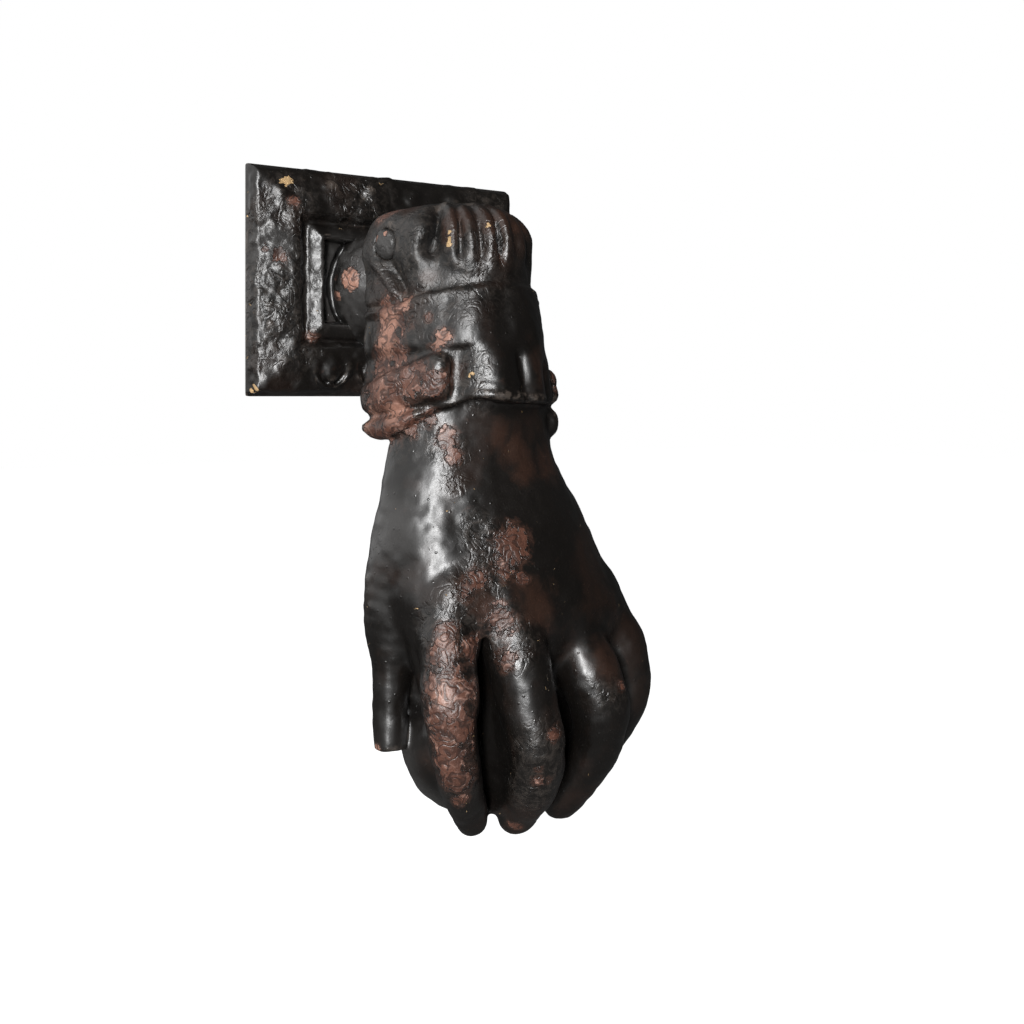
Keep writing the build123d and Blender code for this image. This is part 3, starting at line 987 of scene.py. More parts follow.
def egg_row(name, bed_out, sizes):
    """One row in mm as x, out and z, on its bed in the plate's border."""
    corners, triangles = tree_mesh(egg_tree, name, sizes)
    return corners * (1, -1, 1) + (0, bed_out, 0), triangles


long_side = {"Count": 4, "From Centre": PLATE_HEIGHT / 2 - EGG_FROM_EDGE}
short_side = {"Count": 3, "From Centre": PLATE_WIDTH / 2 - EGG_FROM_EDGE}
egg_rows = [
    egg_row("eggs_bottom", EGG_BED_OUT, {**long_side, "Turn": 0.0}),
    egg_row("eggs_top", WORN_BED_OUT, {**long_side, "Turn": pi, **WORN}),
    egg_row("eggs_left", WORN_BED_OUT, {**short_side, "Turn": pi / 2, **WORN}),
    egg_row("eggs_right", WORN_BED_OUT, {**short_side, "Turn": -pi / 2, **WORN}),
]
for corners, triangles in egg_rows:
    print("row:", len(triangles), "triangles, from", corners.min(0).round(1), "to", corners.max(0).round(1))

# %% Cast the eggs into the plate


def pour_mesh(mould, corners, triangles, blend):
    """Melts a closed mesh into a mould through a distance grid of its own."""
    scaled = (corners - mould.low) / mould.step
    grid = openvdb.FloatGrid.createLevelSetFromPolygons(scaled, triangles=triangles, halfWidth=5)
    distances = np.full(mould.depth.shape, FAR, np.float32)
    grid.copyToArray(distances)
    mould.depth = softly_least(mould.depth, distances * mould.step, blend)


for corners, triangles in egg_rows:
    pour_mesh(plate_mould, corners, triangles, 1.1)
print("plate iron now fills", round(float((plate_mould.depth < 0).sum() * plate_step**3)), "mm3")

# %% [markdown]
# ### Boss and tongue
#
# The dome hides the tongue's root, and the tongue reaches out to the pin. Its end is round about the bore,
# so the hand can swing over it.

# %% Boss, tongue, bore and stud socket
DOME_RADIUS = 17.4
DOME_Z = -1.0
RECESS_OUT = 4.2
RECESS_HALF_HEIGHT = 10.2
GROOVE_RADIUS = 0.8
TONGUE_THICKNESS = 10.0
TONGUE_BORE_RADIUS = 3.05
SOCKET_RADIUS = 5.03
SOCKET_DEPTH = 10.0


def dome(x, out, z):
    """The half ball in the middle of the plate."""
    from_middle = np.sqrt(x * x + (out - RECESS_OUT) ** 2 + (z - DOME_Z) ** 2)
    return within(from_middle - DOME_RADIUS, -out)


def dome_groove(x, out, z):
    """A thin groove about the half ball's foot, only in the sunk field."""
    from_foot = np.hypot(x, z - DOME_Z) - DOME_RADIUS
    return within(np.hypot(from_foot, out - RECESS_OUT) - GROOVE_RADIUS, np.abs(z) - RECESS_HALF_HEIGHT)


def tongue(x, out, z):
    """A flat arm from the plate's middle to the pin, round at its end."""
    start = np.array((0.0, RECESS_OUT, 0.0, 8.0))
    end = np.array((0.0, PIVOT_OUT, PIVOT_Z, 6.2))
    arm = rod_distance(0.0 * x, out, z, start, end)
    return softly_most(arm, np.abs(x) - TONGUE_THICKNESS / 2, 1.0)


def stud_socket(x, out, z):
    """The hole in the plate's back that holds the stud's root."""
    return within(np.hypot(x, z) - SOCKET_RADIUS, out - SOCKET_DEPTH)


plate_mould.pour(dome, (-22, -3, -22), (22, 26, 22))
plate_mould.carve(dome_groove, (-22, 1, -12), (22, 9, 12))
plate_mould.pour(tongue, (-9, 4, -12), (9, 50, 16), blend=1.5)
plate_mould.carve(across_bore(TONGUE_BORE_RADIUS, 0), (-9, 34, 0), (9, 46, 12))
plate_mould.carve(stud_socket, (-8, -3, -8), (8, 12, 8))
plate_casting = draw_skin(plate_mould, "plate_casting")
face_outwards(plate_casting)
print("plate casting:", len(plate_casting.data.polygons), "faces")

# %% Roughen the plate
plate_out = vertex_places(plate_casting)[:, 1]
on_front = fade(plate_out, 1, 3) * fade(plate_out, 30, 26)
plate_moved = roughen(plate_casting, ((7, 0.28), (3.2, 0.34), (1.6, 0.2)), where=on_front)
print("plate moved by up to", round(plate_moved, 2), "mm")

# %% [markdown]
# ## The fixing stud
#
# A threaded bar holds the plate from inside the door. Its plain root is fast in the plate. The thread is one
# cord wound on a core, so Geometry Nodes wind it from a pitch, a length and a radius, and it is melted into
# the core, which rounds its root as rolling does.

# %% Tree for a thread
CORE_RADIUS = 3.5
THREAD_SIZES = {"Turns": 28.0, "Length": 35.0, "Radius": CORE_RADIUS, "Cord": 0.47}


def thread_tree():
    """A cord wound about the z axis."""
    thread = Pattern("thread", THREAD_SIZES)
    given = thread.given
    spiral = thread.made("GeometryNodeCurveSpiral", Resolution=24, Rotations=given["Turns"],
                         Start_Radius=given["Radius"], End_Radius=given["Radius"], Height=given["Length"])
    cord = thread.made("GeometryNodeCurvePrimitiveCircle", Resolution=6, Radius=given["Cord"])
    wound = thread.made("GeometryNodeCurveToMesh", Curve=spiral, Profile_Curve=cord, Fill_Caps=True)
    return thread.finish(wound)


thread_corners, thread_triangles = tree_mesh(thread_tree(), "thread", {})
thread_length = float(np.ptp(thread_corners[:, 2]))
print("thread:", len(thread_triangles), "triangles,", round(thread_length, 1), "mm long")

# %% Threaded stud
STUD_LENGTH = 45.0
ROOT_RADIUS = 5.0
ROOT_LENGTH = SOCKET_DEPTH
CORE_END_OUT = 1.0
CREST_RADIUS = 3.97
END_CHAMFER = 1.0
CHAMFER_SLOPE = 1.414
THREAD_END_OUT = -44.0
stud_mould = Mould((-5.6, -46, -5.6), (5.6, 11, 5.6), 0.22)


def stud_bar(x, out, z):
    """The core of the stud and its thicker root."""
    across = np.hypot(x, z)
    core = within(across - CORE_RADIUS, out - CORE_END_OUT, -STUD_LENGTH - out)
    root = within(across - ROOT_RADIUS, out - ROOT_LENGTH, -out)
    return np.minimum(core, root)


def beyond_chamfer(x, out, z):
    """What the cone at the stud's end takes away."""
    return (STUD_LENGTH + CREST_RADIUS - END_CHAMFER - np.hypot(x, z) + out) / CHAMFER_SLOPE


stud_mould.pour(stud_bar)
along_stud = thread_corners[:, (0, 2, 1)] + (0, THREAD_END_OUT, 0)
pour_mesh(stud_mould, along_stud, thread_triangles[:, ::-1], 0.15)
stud_mould.carve(beyond_chamfer, (-5.6, -46, -5.6), (5.6, -40, 5.6))
threaded_stud = draw_skin(stud_mould, "threaded_stud")
face_outwards(threaded_stud)
print("stud:", len(threaded_stud.data.polygons), "faces")

# %% [markdown]
# ## Materials
#
# The paint is black enamel, laid on thick and often. It is glossy, wrinkled in places and pitted, grey
# where it is worn and brown where rust bleeds through. Rust shows in islands with a sharp rim, lower than
# the paint by its thickness, and a few fresh chips are ochre.
#
# Where each island lies is painted on the vertices as an attribute, and noise in the material breaks its
# rim up, so the rim is as fine as the render and not as coarse as the mesh.

# %% Crevices and crests
OPEN_CREVICE = 0.15
OPEN_GAP = 0.5
GAP_STRENGTH = 1.6


def depth_at(mould, places):
    """The mould's distance at free places, from the eight grid points about each."""
    scaled = (places - mould.low) / mould.step
    scaled = np.clip(scaled, 0, np.array(mould.depth.shape) - 1.001)
    cell = np.floor(scaled).astype(int)
    return between_points(cell, scaled - cell, lambda *at: mould.depth[at])


def store(piece, name, values):
    """Keeps one number for each vertex, for a material to read."""
    attribute = piece.data.attributes.new(name, "FLOAT", "POINT")
    attribute.data.foreach_set("value", np.clip(values, 0, 1).astype(np.float32))


def mark_relief(piece, mould, near, far):
    """Marks each vertex by how hidden it is in a crevice or a gap, and by how sharp a crest it stands on."""
    places = vertex_places(piece)
    outwards = read_threes(piece.data.vertices, "normal") * (1, -1, 1)
    crevice = 1 - depth_at(mould, places + near * outwards) / near
    gap = 1 - depth_at(mould, places + far * outwards) / far
    crest = 1 + depth_at(mould, places - near * outwards) / near
    store(piece, "crevice", np.maximum(crevice - OPEN_CREVICE, (gap - OPEN_GAP) * GAP_STRENGTH))
    store(piece, "crest", crest)
    return [round(float(np.clip(values, 0, 1).mean()), 3) for values in (crevice, gap, crest)]


print("hand, mean crevice, gap and crest:", mark_relief(hand_casting, hand_mould, 2.4, 7.5))
print("plate, mean crevice, gap and crest:", mark_relief(plate_casting, plate_mould, 1.6, 5.0))

# %% Paint a mask on the vertices
PATCH_REACH = 2  # a patch is gone at this many times its radius


def paint_mask(piece, name, patches):
    """Stores soft round patches as a vertex attribute: each patch an x, out, z and radius in mm."""
    places = vertex_places(piece)
    mask = np.zeros(len(places))
    for x, out, z, radius in patches:
        apart = np.sqrt(((places - (x, out, z)) ** 2).sum(1))
        mask = np.maximum(mask, 1 - apart / radius / PATCH_REACH)
    store(piece, name, mask)
    return float((mask > 0.5).mean())


def paint_masks(piece, masks):
    """Paints several masks on one piece and prints the share that each covers."""
    for name, patches in masks.items():
        print(piece.name, "share that is", name, round(paint_mask(piece, name, patches), 4))


print("a patch of radius 4 mm is gone at", 4 * PATCH_REACH, "mm from its middle")

# %% Where the hand is chipped to rust
HAND_RUST = (
    (-17.2, 37, 13.2, 2.6), (-15.6, 38.6, 14.4, 1.6), (-19.0, 42, -12, 4.6), (-19.6, 43, -17, 4.6),
    (-20.0, 40, -21, 3.6), (-18.2, 46, -12, 3.4), (-18.4, 46, -19, 3.0), (-22, 45, -29, 7.5),
    (-21.5, 50, -28, 5.0), (-21, 42, -36, 6.0), (-20.5, 49, -35, 5.0), (-25.2, 48.8, -109.4, 1.0),
    (-20.4, 40, -19.5, 2.8), (-17.4, 48.4, -8.4, 1.9), (-15.3, 54.5, -12, 1.1), (-13.9, 58.4, -16.8, 2.1),
    (-15.4, 57.0, -18.8, 1.8), (-12.6, 61.5, -21.4, 1.3), (-10.7, 62.7, -22.6, 0.9),
    (-21, 42, -24.5, 3.0), (-21.6, 46, -27, 4.4), (-21, 51, -26.5, 4.6), (-18.6, 55.6, -24.6, 3.4),
    (-16.4, 59, -26.4, 3.2), (-21.6, 42, -32, 3.6), (-21.2, 47.4, -34, 4.0), (-20.6, 37, -36, 3.6),
    (-21.2, 43, -38, 3.6), (-19.8, 51.6, -36.4, 3.2), (-16.6, 56.6, -35.2, 2.4),
    (-1.4, 67.2, -63.5, 4.2), (-3.6, 67.5, -68, 2.4), (0.6, 68.6, -71, 1.6), (-5.8, 69.6, -79, 3.6),
    (-10.5, 68.4, -70, 2.4), (-13.0, 66.6, -72.5, 2.2), (-18.2, 67.4, -80.5, 2.4), (-19.6, 69, -86, 3.0),
    (-20.0, 70, -92, 4.6), (-20.8, 70.6, -97, 4.2), (-19.4, 71.4, -101, 4.6), (-18.0, 70.4, -107, 3.8),
    (-15.8, 68.0, -113.6, 3.6), (-13.8, 65.9, -118.5, 2.0), (-14.7, 71.8, -93, 2.6),
    (-12.6, 70.4, -84.5, 2.6),
    (-5.6, 72.5, -88, 2.4), (3.4, 77.0, -104, 1.7), (2.0, 74.0, -114, 1.5), (0.6, 75.4, -111, 1.0),
    (3.7, 62.2, -129, 1.7), (8.0, 74.6, -86, 2.4), (24.4, 73.5, -97, 1.2), (20, 52, -27, 3.0),
    (21.5, 46, -33, 4.5), (-20.6, 56, -68, 1.2), (-14.0, 58.8, -39, 2.6), (-12.4, 60.2, -43.6, 2.0),
)
HAND_PALE = (
    (-19.0, 42, -14, 3.6), (-19.6, 42.4, -17, 3.0), (-13.9, 58.4, -17, 2.2), (-21, 46, -28, 2.4),
    (-20.6, 38, -35, 3.0), (-20.4, 49, -34, 2.6), (-14.6, 58.2, -37.4, 1.2), (-17.4, 48.4, -8.4, 1.4),
    (-20.0, 70, -94, 2.0), (-25.2, 48.8, -109.4, 1.6),
)
print("rust patches:", len(HAND_RUST), "of them pale:", len(HAND_PALE))

# %% Brown film and ochre chips on the hand
HAND_BROWN = (
    (0, 58, 10, 5.0), (6, 56, 10, 5.0), (-8, 56, 11, 4.0), (12, 50, 10, 5.0), (-13, 41, 15, 5.0),
    (3.4, 61.6, -42, 4.5), (6, 62, -47, 4.0), (-1, 61.0, -39, 4.0), (-17.4, 37, 12, 4.0), (-8.6, 56, 9, 3.0),
    (-3.1, 60.6, 8.7, 2.4), (-0.8, 60.9, 3.2, 2.6), (0.0, 60.6, 0.6, 1.8), (-14.6, 52, -2.6, 2.4),
    (-12, 57, 6, 3.0), (-5.4, 60, 9, 2.0), (-12.4, 60.6, -24, 3.4), (-4, 63, -23, 3.0), (8, 60, -24, 6.0),
    (-19.4, 46, -3.4, 2.6), (14, 56, -46, 6.0), (2, 69, -76, 6.0), (-9, 68, -76, 4.0), (20, 70, -92, 6.0),
)
HAND_OCHRE = (
    (-19.9, 38.0, 6.4, 0.9), (-19.9, 39.0, 7.2, 0.6), (-11.2, 56.4, 7.6, 0.55), (-11.3, 56.5, 6.4, 0.55),
    (-11.4, 56.6, 5.2, 0.5), (-11.5, 56.7, 4.0, 0.4), (-9.9, 63.6, -24.9, 0.8),
    (-21.6, 47.8, -28.4, 0.8), (-21.0, 44.6, -30.4, 0.6), (-3.4, 60.4, 9.4, 0.8), (-13.5, 57.6, -45, 0.5),
)
print("brown patches:", len(HAND_BROWN), "and ochre chips:", len(HAND_OCHRE))

# %% Scaly and matt paint, dust with painted sheen on the lit left sides, and the gaps between the fingers where no light comes
HAND_SCALY = (
    (-14.5, 58.2, -40, 4.0), (-12.0, 59.6, -42, 3.6), (-13, 62.0, -49, 3.0), (-8, 65, -60, 4.0),
    (-7, 67, -68, 5.0), (-12, 67, -74, 6.0), (-16, 67, -80, 7.0), (-19, 69, -94, 8.0),
    (-17, 68, -110, 8.0), (-4, 71, -84, 6.0),
    (-22, 46, -30, 12.0), (-9, 57, 6, 7.0), (-4, 60, 5, 6.0), (3, 75, -108, 7.0), (2, 72, -118, 7.0),
    (-18.4, 40, 6, 5.0), (-19, 44, -14, 8.0), (22, 72, -97, 5.0), (-12, 46, 0, 17.0),
    (-11, 61.5, -24, 6.0), (-6, 63, -30, 4.0),
)
HAND_MATT = ((-13, 45, 4, 15.0), (-13, 50, -14, 11.0))
# Grey on the left sides of the hand and the ball: partly dust, partly painted sheen where they face the
# light
HAND_DUST_AND_SHEEN = ((-22, 50, -60, 7.0), (-20, 46, -75, 6.0), (-17, 44, -112, 8.0), (-14, 46, -122, 8.0))
HAND_GAPS = (
    (-8.0, 62.5, -84, 3.8), (-8.0, 63.5, -92, 4.0), (-8.0, 64, -100, 4.0), (-6.0, 62.5, -108, 3.8),
    (-3.4, 59.5, -117, 3.6),
    (9.0, 63, -84, 3.4), (11.0, 64, -94, 3.8), (13.0, 63.5, -104, 3.8), (14.0, 59.5, -114, 3.8),
    (22.5, 58, -80, 3.0), (27, 59.5, -90, 3.8), (30, 60, -100, 3.8), (29.5, 57, -110, 3.8),
    (-16.5, 53.5, -80, 3.6), (-18.0, 54, -89, 3.6), (-18.5, 54, -98, 3.0),
)
paint_masks(hand_casting, {
    "rust": HAND_RUST, "pale": HAND_PALE, "brown": HAND_BROWN, "ochre": HAND_OCHRE,
    "scaly": HAND_SCALY, "gaps": HAND_GAPS, "matt": HAND_MATT, "dusty": HAND_DUST_AND_SHEEN,
})

# %% Masks of the pin
# Its left end is chipped like the cheek about it
PIN_CHIPS = ((-20.5, 41.6, 8.6, 0.8), (-20.5, 38.6, 7.6, 0.9))
PIN_END = ((-20.5, 40, 6, 5.0),)
# The dust mask on its left end greys it as dust and as painted sheen where it faces the light
paint_masks(peened_pin, {
    "rust": PIN_CHIPS, "pale": PIN_CHIPS, "scaly": PIN_END, "dusty": PIN_END, "matt": PIN_END,
})

# %% Masks of the plate
PLATE_RUST = (
    (-15.2, 11.5, 1.0, 3.2), (-16.4, 7.0, -3.4, 1.6), (-16.6, 6.6, 1.0, 1.2), (-36, 6.4, 7.4, 1.6),
    (-33, 6.8, 6.6, 2.2), (-29, 6.4, 20, 1.4), (-20, 5.6, -9, 1.2), (-23, 5.4, -14, 1.6),
)
PLATE_OCHRE = (
    (-30.4, 5.9, 25.4, 1.5), (-38.6, 3.6, -28.0, 1.2), (-39.4, 1.4, -20, 0.8), (-39.4, 1.2, -14, 0.7),
    (-39.4, 1.4, 16, 0.7), (-39.4, 1.6, 22, 0.6),
)
PLATE_SCALY = (
    (-34, 6, 12, 9.0), (-33, 6, 0, 10.0), (-33, 6, -14, 10.0), (-30, 6, 20, 7.0), (-15, 10, 2, 5.0),
    (-10, 6, 24, 8.0), (30, 6, 20, 9.0), (33, 6, 0, 9.0), (30, 6, -18, 9.0), (10, 6, -24, 8.0),
)
# Grey on the dome and the left border: partly dust, partly painted sheen where they face the light
PLATE_DUST_AND_SHEEN = ((-15, 9, 0, 10.0), (-34, 5, 8, 5.0), (-20, 8, 3, 3.0))
paint_masks(plate_casting, {
    "dusty": PLATE_DUST_AND_SHEEN, "rust": PLATE_RUST, "pale": PLATE_RUST[:3], "ochre": PLATE_OCHRE,
    "scaly": PLATE_SCALY,
})

# %% [markdown]
# ### Recipes for materials
#
# A material is a node tree as well, so a `Recipe` is built from the same steps. It adds what surfaces need:
# noise of a size in millimetres, a soft threshold, a mix of two colours, and the masks painted above. The
# same recipe serves the world later.

# %% Recipe


class Recipe(Steps):
    """The node tree of a material or of the world."""

    def __init__(self, owner, coordinates="Object"):
        owner.use_nodes = True
        super().__init__(owner.node_tree)
        self.owner = owner
        self.tree.nodes.clear()
        self.place = self.step("ShaderNodeTexCoord").outputs[coordinates]

    def noise(self, size_mm, detail=2.0, roughness=0.5, distortion=0.0):
        """Noise between 0 and 1 with features of about this size."""
        return self.made("ShaderNodeTexNoise", Vector=self.place, Scale=1000 / size_mm / 2, Detail=detail,
                         Roughness=roughness, Distortion=distortion)

    def about_zero(self, value, strength):
        """A noise moved to lie about zero, times a strength."""
        return self.times(self.math("SUBTRACT", value, 0.5), strength)

    def rest_of(self, share):
        """What is left of one."""
        return self.math("SUBTRACT", 1.0, share)

    def ramp(self, value, low, high, start=0.0):
        """A value stretched so that low becomes the start and high becomes 1, with soft ends."""
        return self.made("ShaderNodeMapRange", {"interpolation_type": "SMOOTHSTEP"},
                         Value=value, From_Min=low, From_Max=high, To_Min=start)

    def tint(self, share, first, second):
        """One colour turning to another by a share."""
        node = self.step("ShaderNodeMix", {"data_type": "RGBA"}, n0=share)
        for socket, value in ((node.inputs[6], first), (node.inputs[7], second)):
            self.fill(socket, (*value, 1.0) if isinstance(value, tuple) else value)
        return node.outputs[2]

    def mask(self, name, low=None, high=None):
        """A mask that was painted on the vertices, as it is or stretched between two of its values."""
        value = self.step("ShaderNodeAttribute", {"attribute_name": name}).outputs["Fac"]
        return value if low is None else self.ramp(value, low, high)

    def seen_by(self):
        """1 or 0 for what the camera sees straight, and for what shows in gloss or through glass."""
        ray = self.step("ShaderNodeLightPath").outputs
        return ray["Is Camera Ray"], self.most(ray["Is Glossy Ray"], ray["Is Transmission Ray"])

    def surface(self, colour, roughness, height, **constants):
        """Joins colour, roughness and a bump by heights in metres. Constants stay on the shader itself."""
        bump = self.made("ShaderNodeBump", Strength=1.0, Distance=1.0, Height=height)
        shader = self.made("ShaderNodeBsdfPrincipled", Base_Color=colour, Roughness=roughness, Normal=bump,
                           **constants)
        self.step("ShaderNodeOutputMaterial", Surface=shader)
        return self.owner


print("a recipe can mix, stretch, mask and join to a surface")

# %% [markdown]
# ### Old black enamel over rusty iron
#
# Three noises, lumps of 16 mm, 3 mm and 1 mm, do most of the work. A soft mask plus noise, cut sharply,
# gives an island its ragged rim. The level lines of a noise, folded so that they lie side by side, are the
# wrinkles of paint that dried too thick.

# %% Noises and islands of the enamel
BROAD_SIZE = 16  # sizes of lumps in mm
MEDIUM_SIZE = 3.2
FINE_SIZE = 0.9
WRINKLE_SIZE = 1.6
LEVEL_LINES = 8.0


class Enamel(Recipe):
    """The noises, wrinkles and islands that colour, gloss and height share."""

    def __init__(self, name):
        super().__init__(bpy.data.materials.new(name))
        self.broad = self.noise(BROAD_SIZE, 3)
        self.medium = self.noise(MEDIUM_SIZE, 5, 0.6, 0.6)
        self.fine = self.noise(FINE_SIZE, 4, 0.65, 0.8)
        self.scaly = self.mask("scaly", 0.2, 0.7)
        self.crevice = self.most(self.mask("crevice", 0.30, 0.75), self.mask("gaps", 0.2, 0.6))
        levels = self.times(self.noise(WRINKLE_SIZE, 1.5, 0.5, 0.8), LEVEL_LINES)
        self.swirl = self.ramp(self.math("PINGPONG", levels, 1.0), 0.05, 0.55)
        rough_edge = self.plus(self.about_zero(self.medium, 1.3), self.about_zero(self.fine, 0.5))
        chipped = self.plus(self.mask("rust"), rough_edge)
        self.rust = self.ramp(chipped, 0.50, 0.53)
        self.rim = self.math("SUBTRACT", self.ramp(chipped, 0.44, 0.51), self.rust)
        self.halo = self.ramp(chipped, 0.20, 0.52)
        ragged_edge = self.about_zero(self.noise(1.5, 3, 0.6, 1.2), 2.2)
        self.ochre = self.ramp(self.plus(self.mask("ochre"), ragged_edge), 0.50, 0.56)


print("noises with lumps of", BROAD_SIZE, MEDIUM_SIZE, "and", FINE_SIZE, "mm")

# %% Colours of the paint
BLACK = (0.0025, 0.0018, 0.0013)
SOOT = (0.0054, 0.0043, 0.0036)
SCALED_GREY = (0.024, 0.0195, 0.0165)
BROWN_FILM = (0.021, 0.0100, 0.0064)
BROWN_HALO = (0.040, 0.0185, 0.0125)
WORN_GREY = (0.075, 0.060, 0.050)
# dust and painted sheen: the lighter grey of sides that face the pale left of the room
DUST_AND_SHEEN_GREY = (0.027, 0.0255, 0.0245)


def paint_colour(enamel, brown_share):
    """Black where it is whole, grey where it is scaly or worn, grey as dust and painted sheen where it faces
    the light, brown where rust bleeds through.
    """
    colour = enamel.tint(enamel.ramp(enamel.broad, 0.35, 0.7), BLACK, SOOT)
    scaled = enamel.times(enamel.scaly, enamel.ramp(enamel.fine, 0.4, 0.7))
    colour = enamel.tint(scaled, colour, SCALED_GREY)
    browned = enamel.times(enamel.ramp(enamel.noise(9, 4, 0.6), 0.5, 0.66), brown_share)
    film = enamel.plus(enamel.mask("brown"), enamel.about_zero(enamel.medium, 1.0))
    colour = enamel.tint(enamel.most(browned, enamel.ramp(film, 0.35, 0.8)), colour, BROWN_FILM)
    bled = enamel.times(enamel.halo, enamel.ramp(enamel.fine, 0.3, 0.6))
    colour = enamel.tint(bled, colour, BROWN_HALO)
    worn = enamel.times(enamel.mask("crest", 0.25, 0.6), enamel.ramp(enamel.noise(2.2, 4, 0.7), 0.50, 0.60))
    colour = enamel.tint(enamel.times(worn, 0.5), colour, WORN_GREY)
    # dust and painted sheen: a lighter grey on the sides that face the light
    return enamel.tint(enamel.mask("dusty", 0.2, 0.8), colour, DUST_AND_SHEEN_GREY)


print("the paint goes from", BLACK, "to", WORN_GREY)

# %% Colours of the rust
RUST_DARK = (0.034, 0.0130, 0.0080)
RUST_RED = (0.088, 0.036, 0.023)
RUST_PALE = (0.245, 0.126, 0.090)
RUST_FLECK = (0.32, 0.19, 0.15)
RUST_STREAK = (0.018, 0.009, 0.007)
RIM_BLACK = (0.004, 0.003, 0.0025)
OCHRE = (0.33, 0.22, 0.11)
# painted shade: the near black that crevices and the gaps between the fingers turn to, as if no light
# reached them
PAINTED_CREVICE_SHADE = (0.0025, 0.0020, 0.0016)


def rust_colour(enamel):
    """Red-brown, pale where it is fresh, with flecks, and dark streaks between its wrinkles."""
    colour = enamel.tint(enamel.ramp(enamel.medium, 0.3, 0.7), RUST_DARK, RUST_RED)
    pale = enamel.times(enamel.mask("pale", 0.2, 0.6), enamel.ramp(enamel.medium, 0.2, 0.6))
    colour = enamel.tint(pale, colour, RUST_PALE)
    flecks = enamel.times(enamel.ramp(enamel.fine, 0.52, 0.72), enamel.scaly)
    colour = enamel.tint(enamel.times(flecks, 0.7), colour, RUST_FLECK)
    return enamel.tint(enamel.times(enamel.rest_of(enamel.swirl), 0.75), colour, RUST_STREAK)


def enamel_colour(enamel, brown_share):
    """Paint and rust with a dark rim between them, ochre chips, and painted shade that darkens the crevices
    and the gaps between the fingers.
    """
    colour = enamel.tint(enamel.rust, paint_colour(enamel, brown_share), rust_colour(enamel))
    colour = enamel.tint(enamel.times(enamel.rim, 0.8), colour, RIM_BLACK)
    colour = enamel.tint(enamel.ochre, colour, OCHRE)
    # painted shade: the crevice mask darkens the colour where the skin is hidden in a crevice or between the
    # fingers
    return enamel.tint(enamel.times(enamel.crevice, 0.85), colour, PAINTED_CREVICE_SHADE)


print("the rust goes from", RUST_DARK, "to", RUST_FLECK)

# %% [markdown]
# ### Gloss and relief of the enamel
#
# The paint is glossy, and a little duller on rust, where it is matt, and in crevices. Its relief is a
# bump by real heights: the coat stands 0.2 mm above the rust, the wrinkles are about 0.1 mm high, and the
# pits of trapped dust are small and sharp.

# %% Gloss and heights
COAT_HEIGHT = 0.00020  # heights in metres
LIP_HEIGHT = 0.00009
WRINKLE_HEIGHT = 0.00011
LEATHER_HEIGHT = 0.00019
FINE_HEIGHT = 0.000035
MEDIUM_HEIGHT = 0.00006
GRAIN_HEIGHT = 0.00010
PIT_DEPTH = 0.00007
PITS_A_METRE = 420.0


def enamel_roughness(enamel, dullness):
    """Glossy paint with duller places."""
    dull = enamel.math("MULTIPLY_ADD", enamel.fine, 0.16, dullness)
    for share, more in ((enamel.rust, 0.10), (enamel.mask("matt", 0.2, 0.7), 0.13), (enamel.crevice, 0.04)):
        dull = enamel.plus(dull, enamel.times(share, more))
    return dull


def wrinkle_height(enamel):
    """Wrinkles in gathered patches and on rust, and a leathery skin where the paint is scaly."""
    gathered = enamel.times(enamel.scaly, enamel.ramp(enamel.noise(4.5, 3, 0.6), 0.42, 0.6))
    faint = enamel.times(enamel.ramp(enamel.broad, 0.5, 0.7), 0.15)
    wrinkled = enamel.most(enamel.most(gathered, faint), enamel.rust)
    leathery = enamel.times(enamel.fine, enamel.most(enamel.scaly, enamel.rust))
    return enamel.plus(enamel.times(enamel.times(enamel.swirl, wrinkled), WRINKLE_HEIGHT),
                       enamel.times(leathery, LEATHER_HEIGHT))


def enamel_height(enamel):
    """The skin's height: the coat, its lip at a chip, wrinkles, pits, calm lumps and the rust's grain."""
    coat = enamel.times(enamel.rest_of(enamel.most(enamel.rust, enamel.ochre)), COAT_HEIGHT)
    from_pit = enamel.made("ShaderNodeTexVoronoi", Vector=enamel.place, Scale=PITS_A_METRE)
    height = enamel.plus(coat, enamel.times(enamel.rim, LIP_HEIGHT))
    height = enamel.plus(height, wrinkle_height(enamel))
    height = enamel.plus(height, enamel.times(enamel.rest_of(enamel.ramp(from_pit, 0.04, 0.16)), PIT_DEPTH))
    height = enamel.plus(height, enamel.times(enamel.fine, FINE_HEIGHT))
    height = enamel.plus(height, enamel.times(enamel.medium, MEDIUM_HEIGHT))
    grain = enamel.times(enamel.noise(0.35, 2), enamel.rust)
    return enamel.plus(height, enamel.times(grain, GRAIN_HEIGHT))


print("coat:", 1000 * COAT_HEIGHT, "mm, wrinkles:", 1000 * WRINKLE_HEIGHT, "mm")

# %% Paint the castings and the pin


def old_enamel(name, brown_share, dullness):
    """Black enamel, chipped to rust and ochre where the masks say so."""
    enamel = Enamel(name)
    return enamel.surface(enamel_colour(enamel, brown_share), enamel_roughness(enamel, dullness),
                          enamel_height(enamel), Specular_IOR_Level=0.62)


hand_enamel = old_enamel("hand_enamel", 0.35, 0.26)
plate_enamel = old_enamel("plate_enamel", 0.25, 0.27)
hand_casting.data.materials.append(hand_enamel)
plate_casting.data.materials.append(plate_enamel)
peened_pin.data.materials.append(hand_enamel)
print("enamel steps:", len(hand_enamel.node_tree.nodes))

# %% [markdown]
# ### Bare iron
#
# The stud was never painted. Indoors it has turned brown in patches, with a fine dark grain over it, and
# some metal still shows through.

# %% Bare iron of the stud
IRON_GREY = (0.055, 0.046, 0.041)
IRON_BROWN = (0.13, 0.060, 0.036)
IRON_DARK = (0.030, 0.020, 0.016)
IRON_GRAIN_HEIGHT = 0.00004


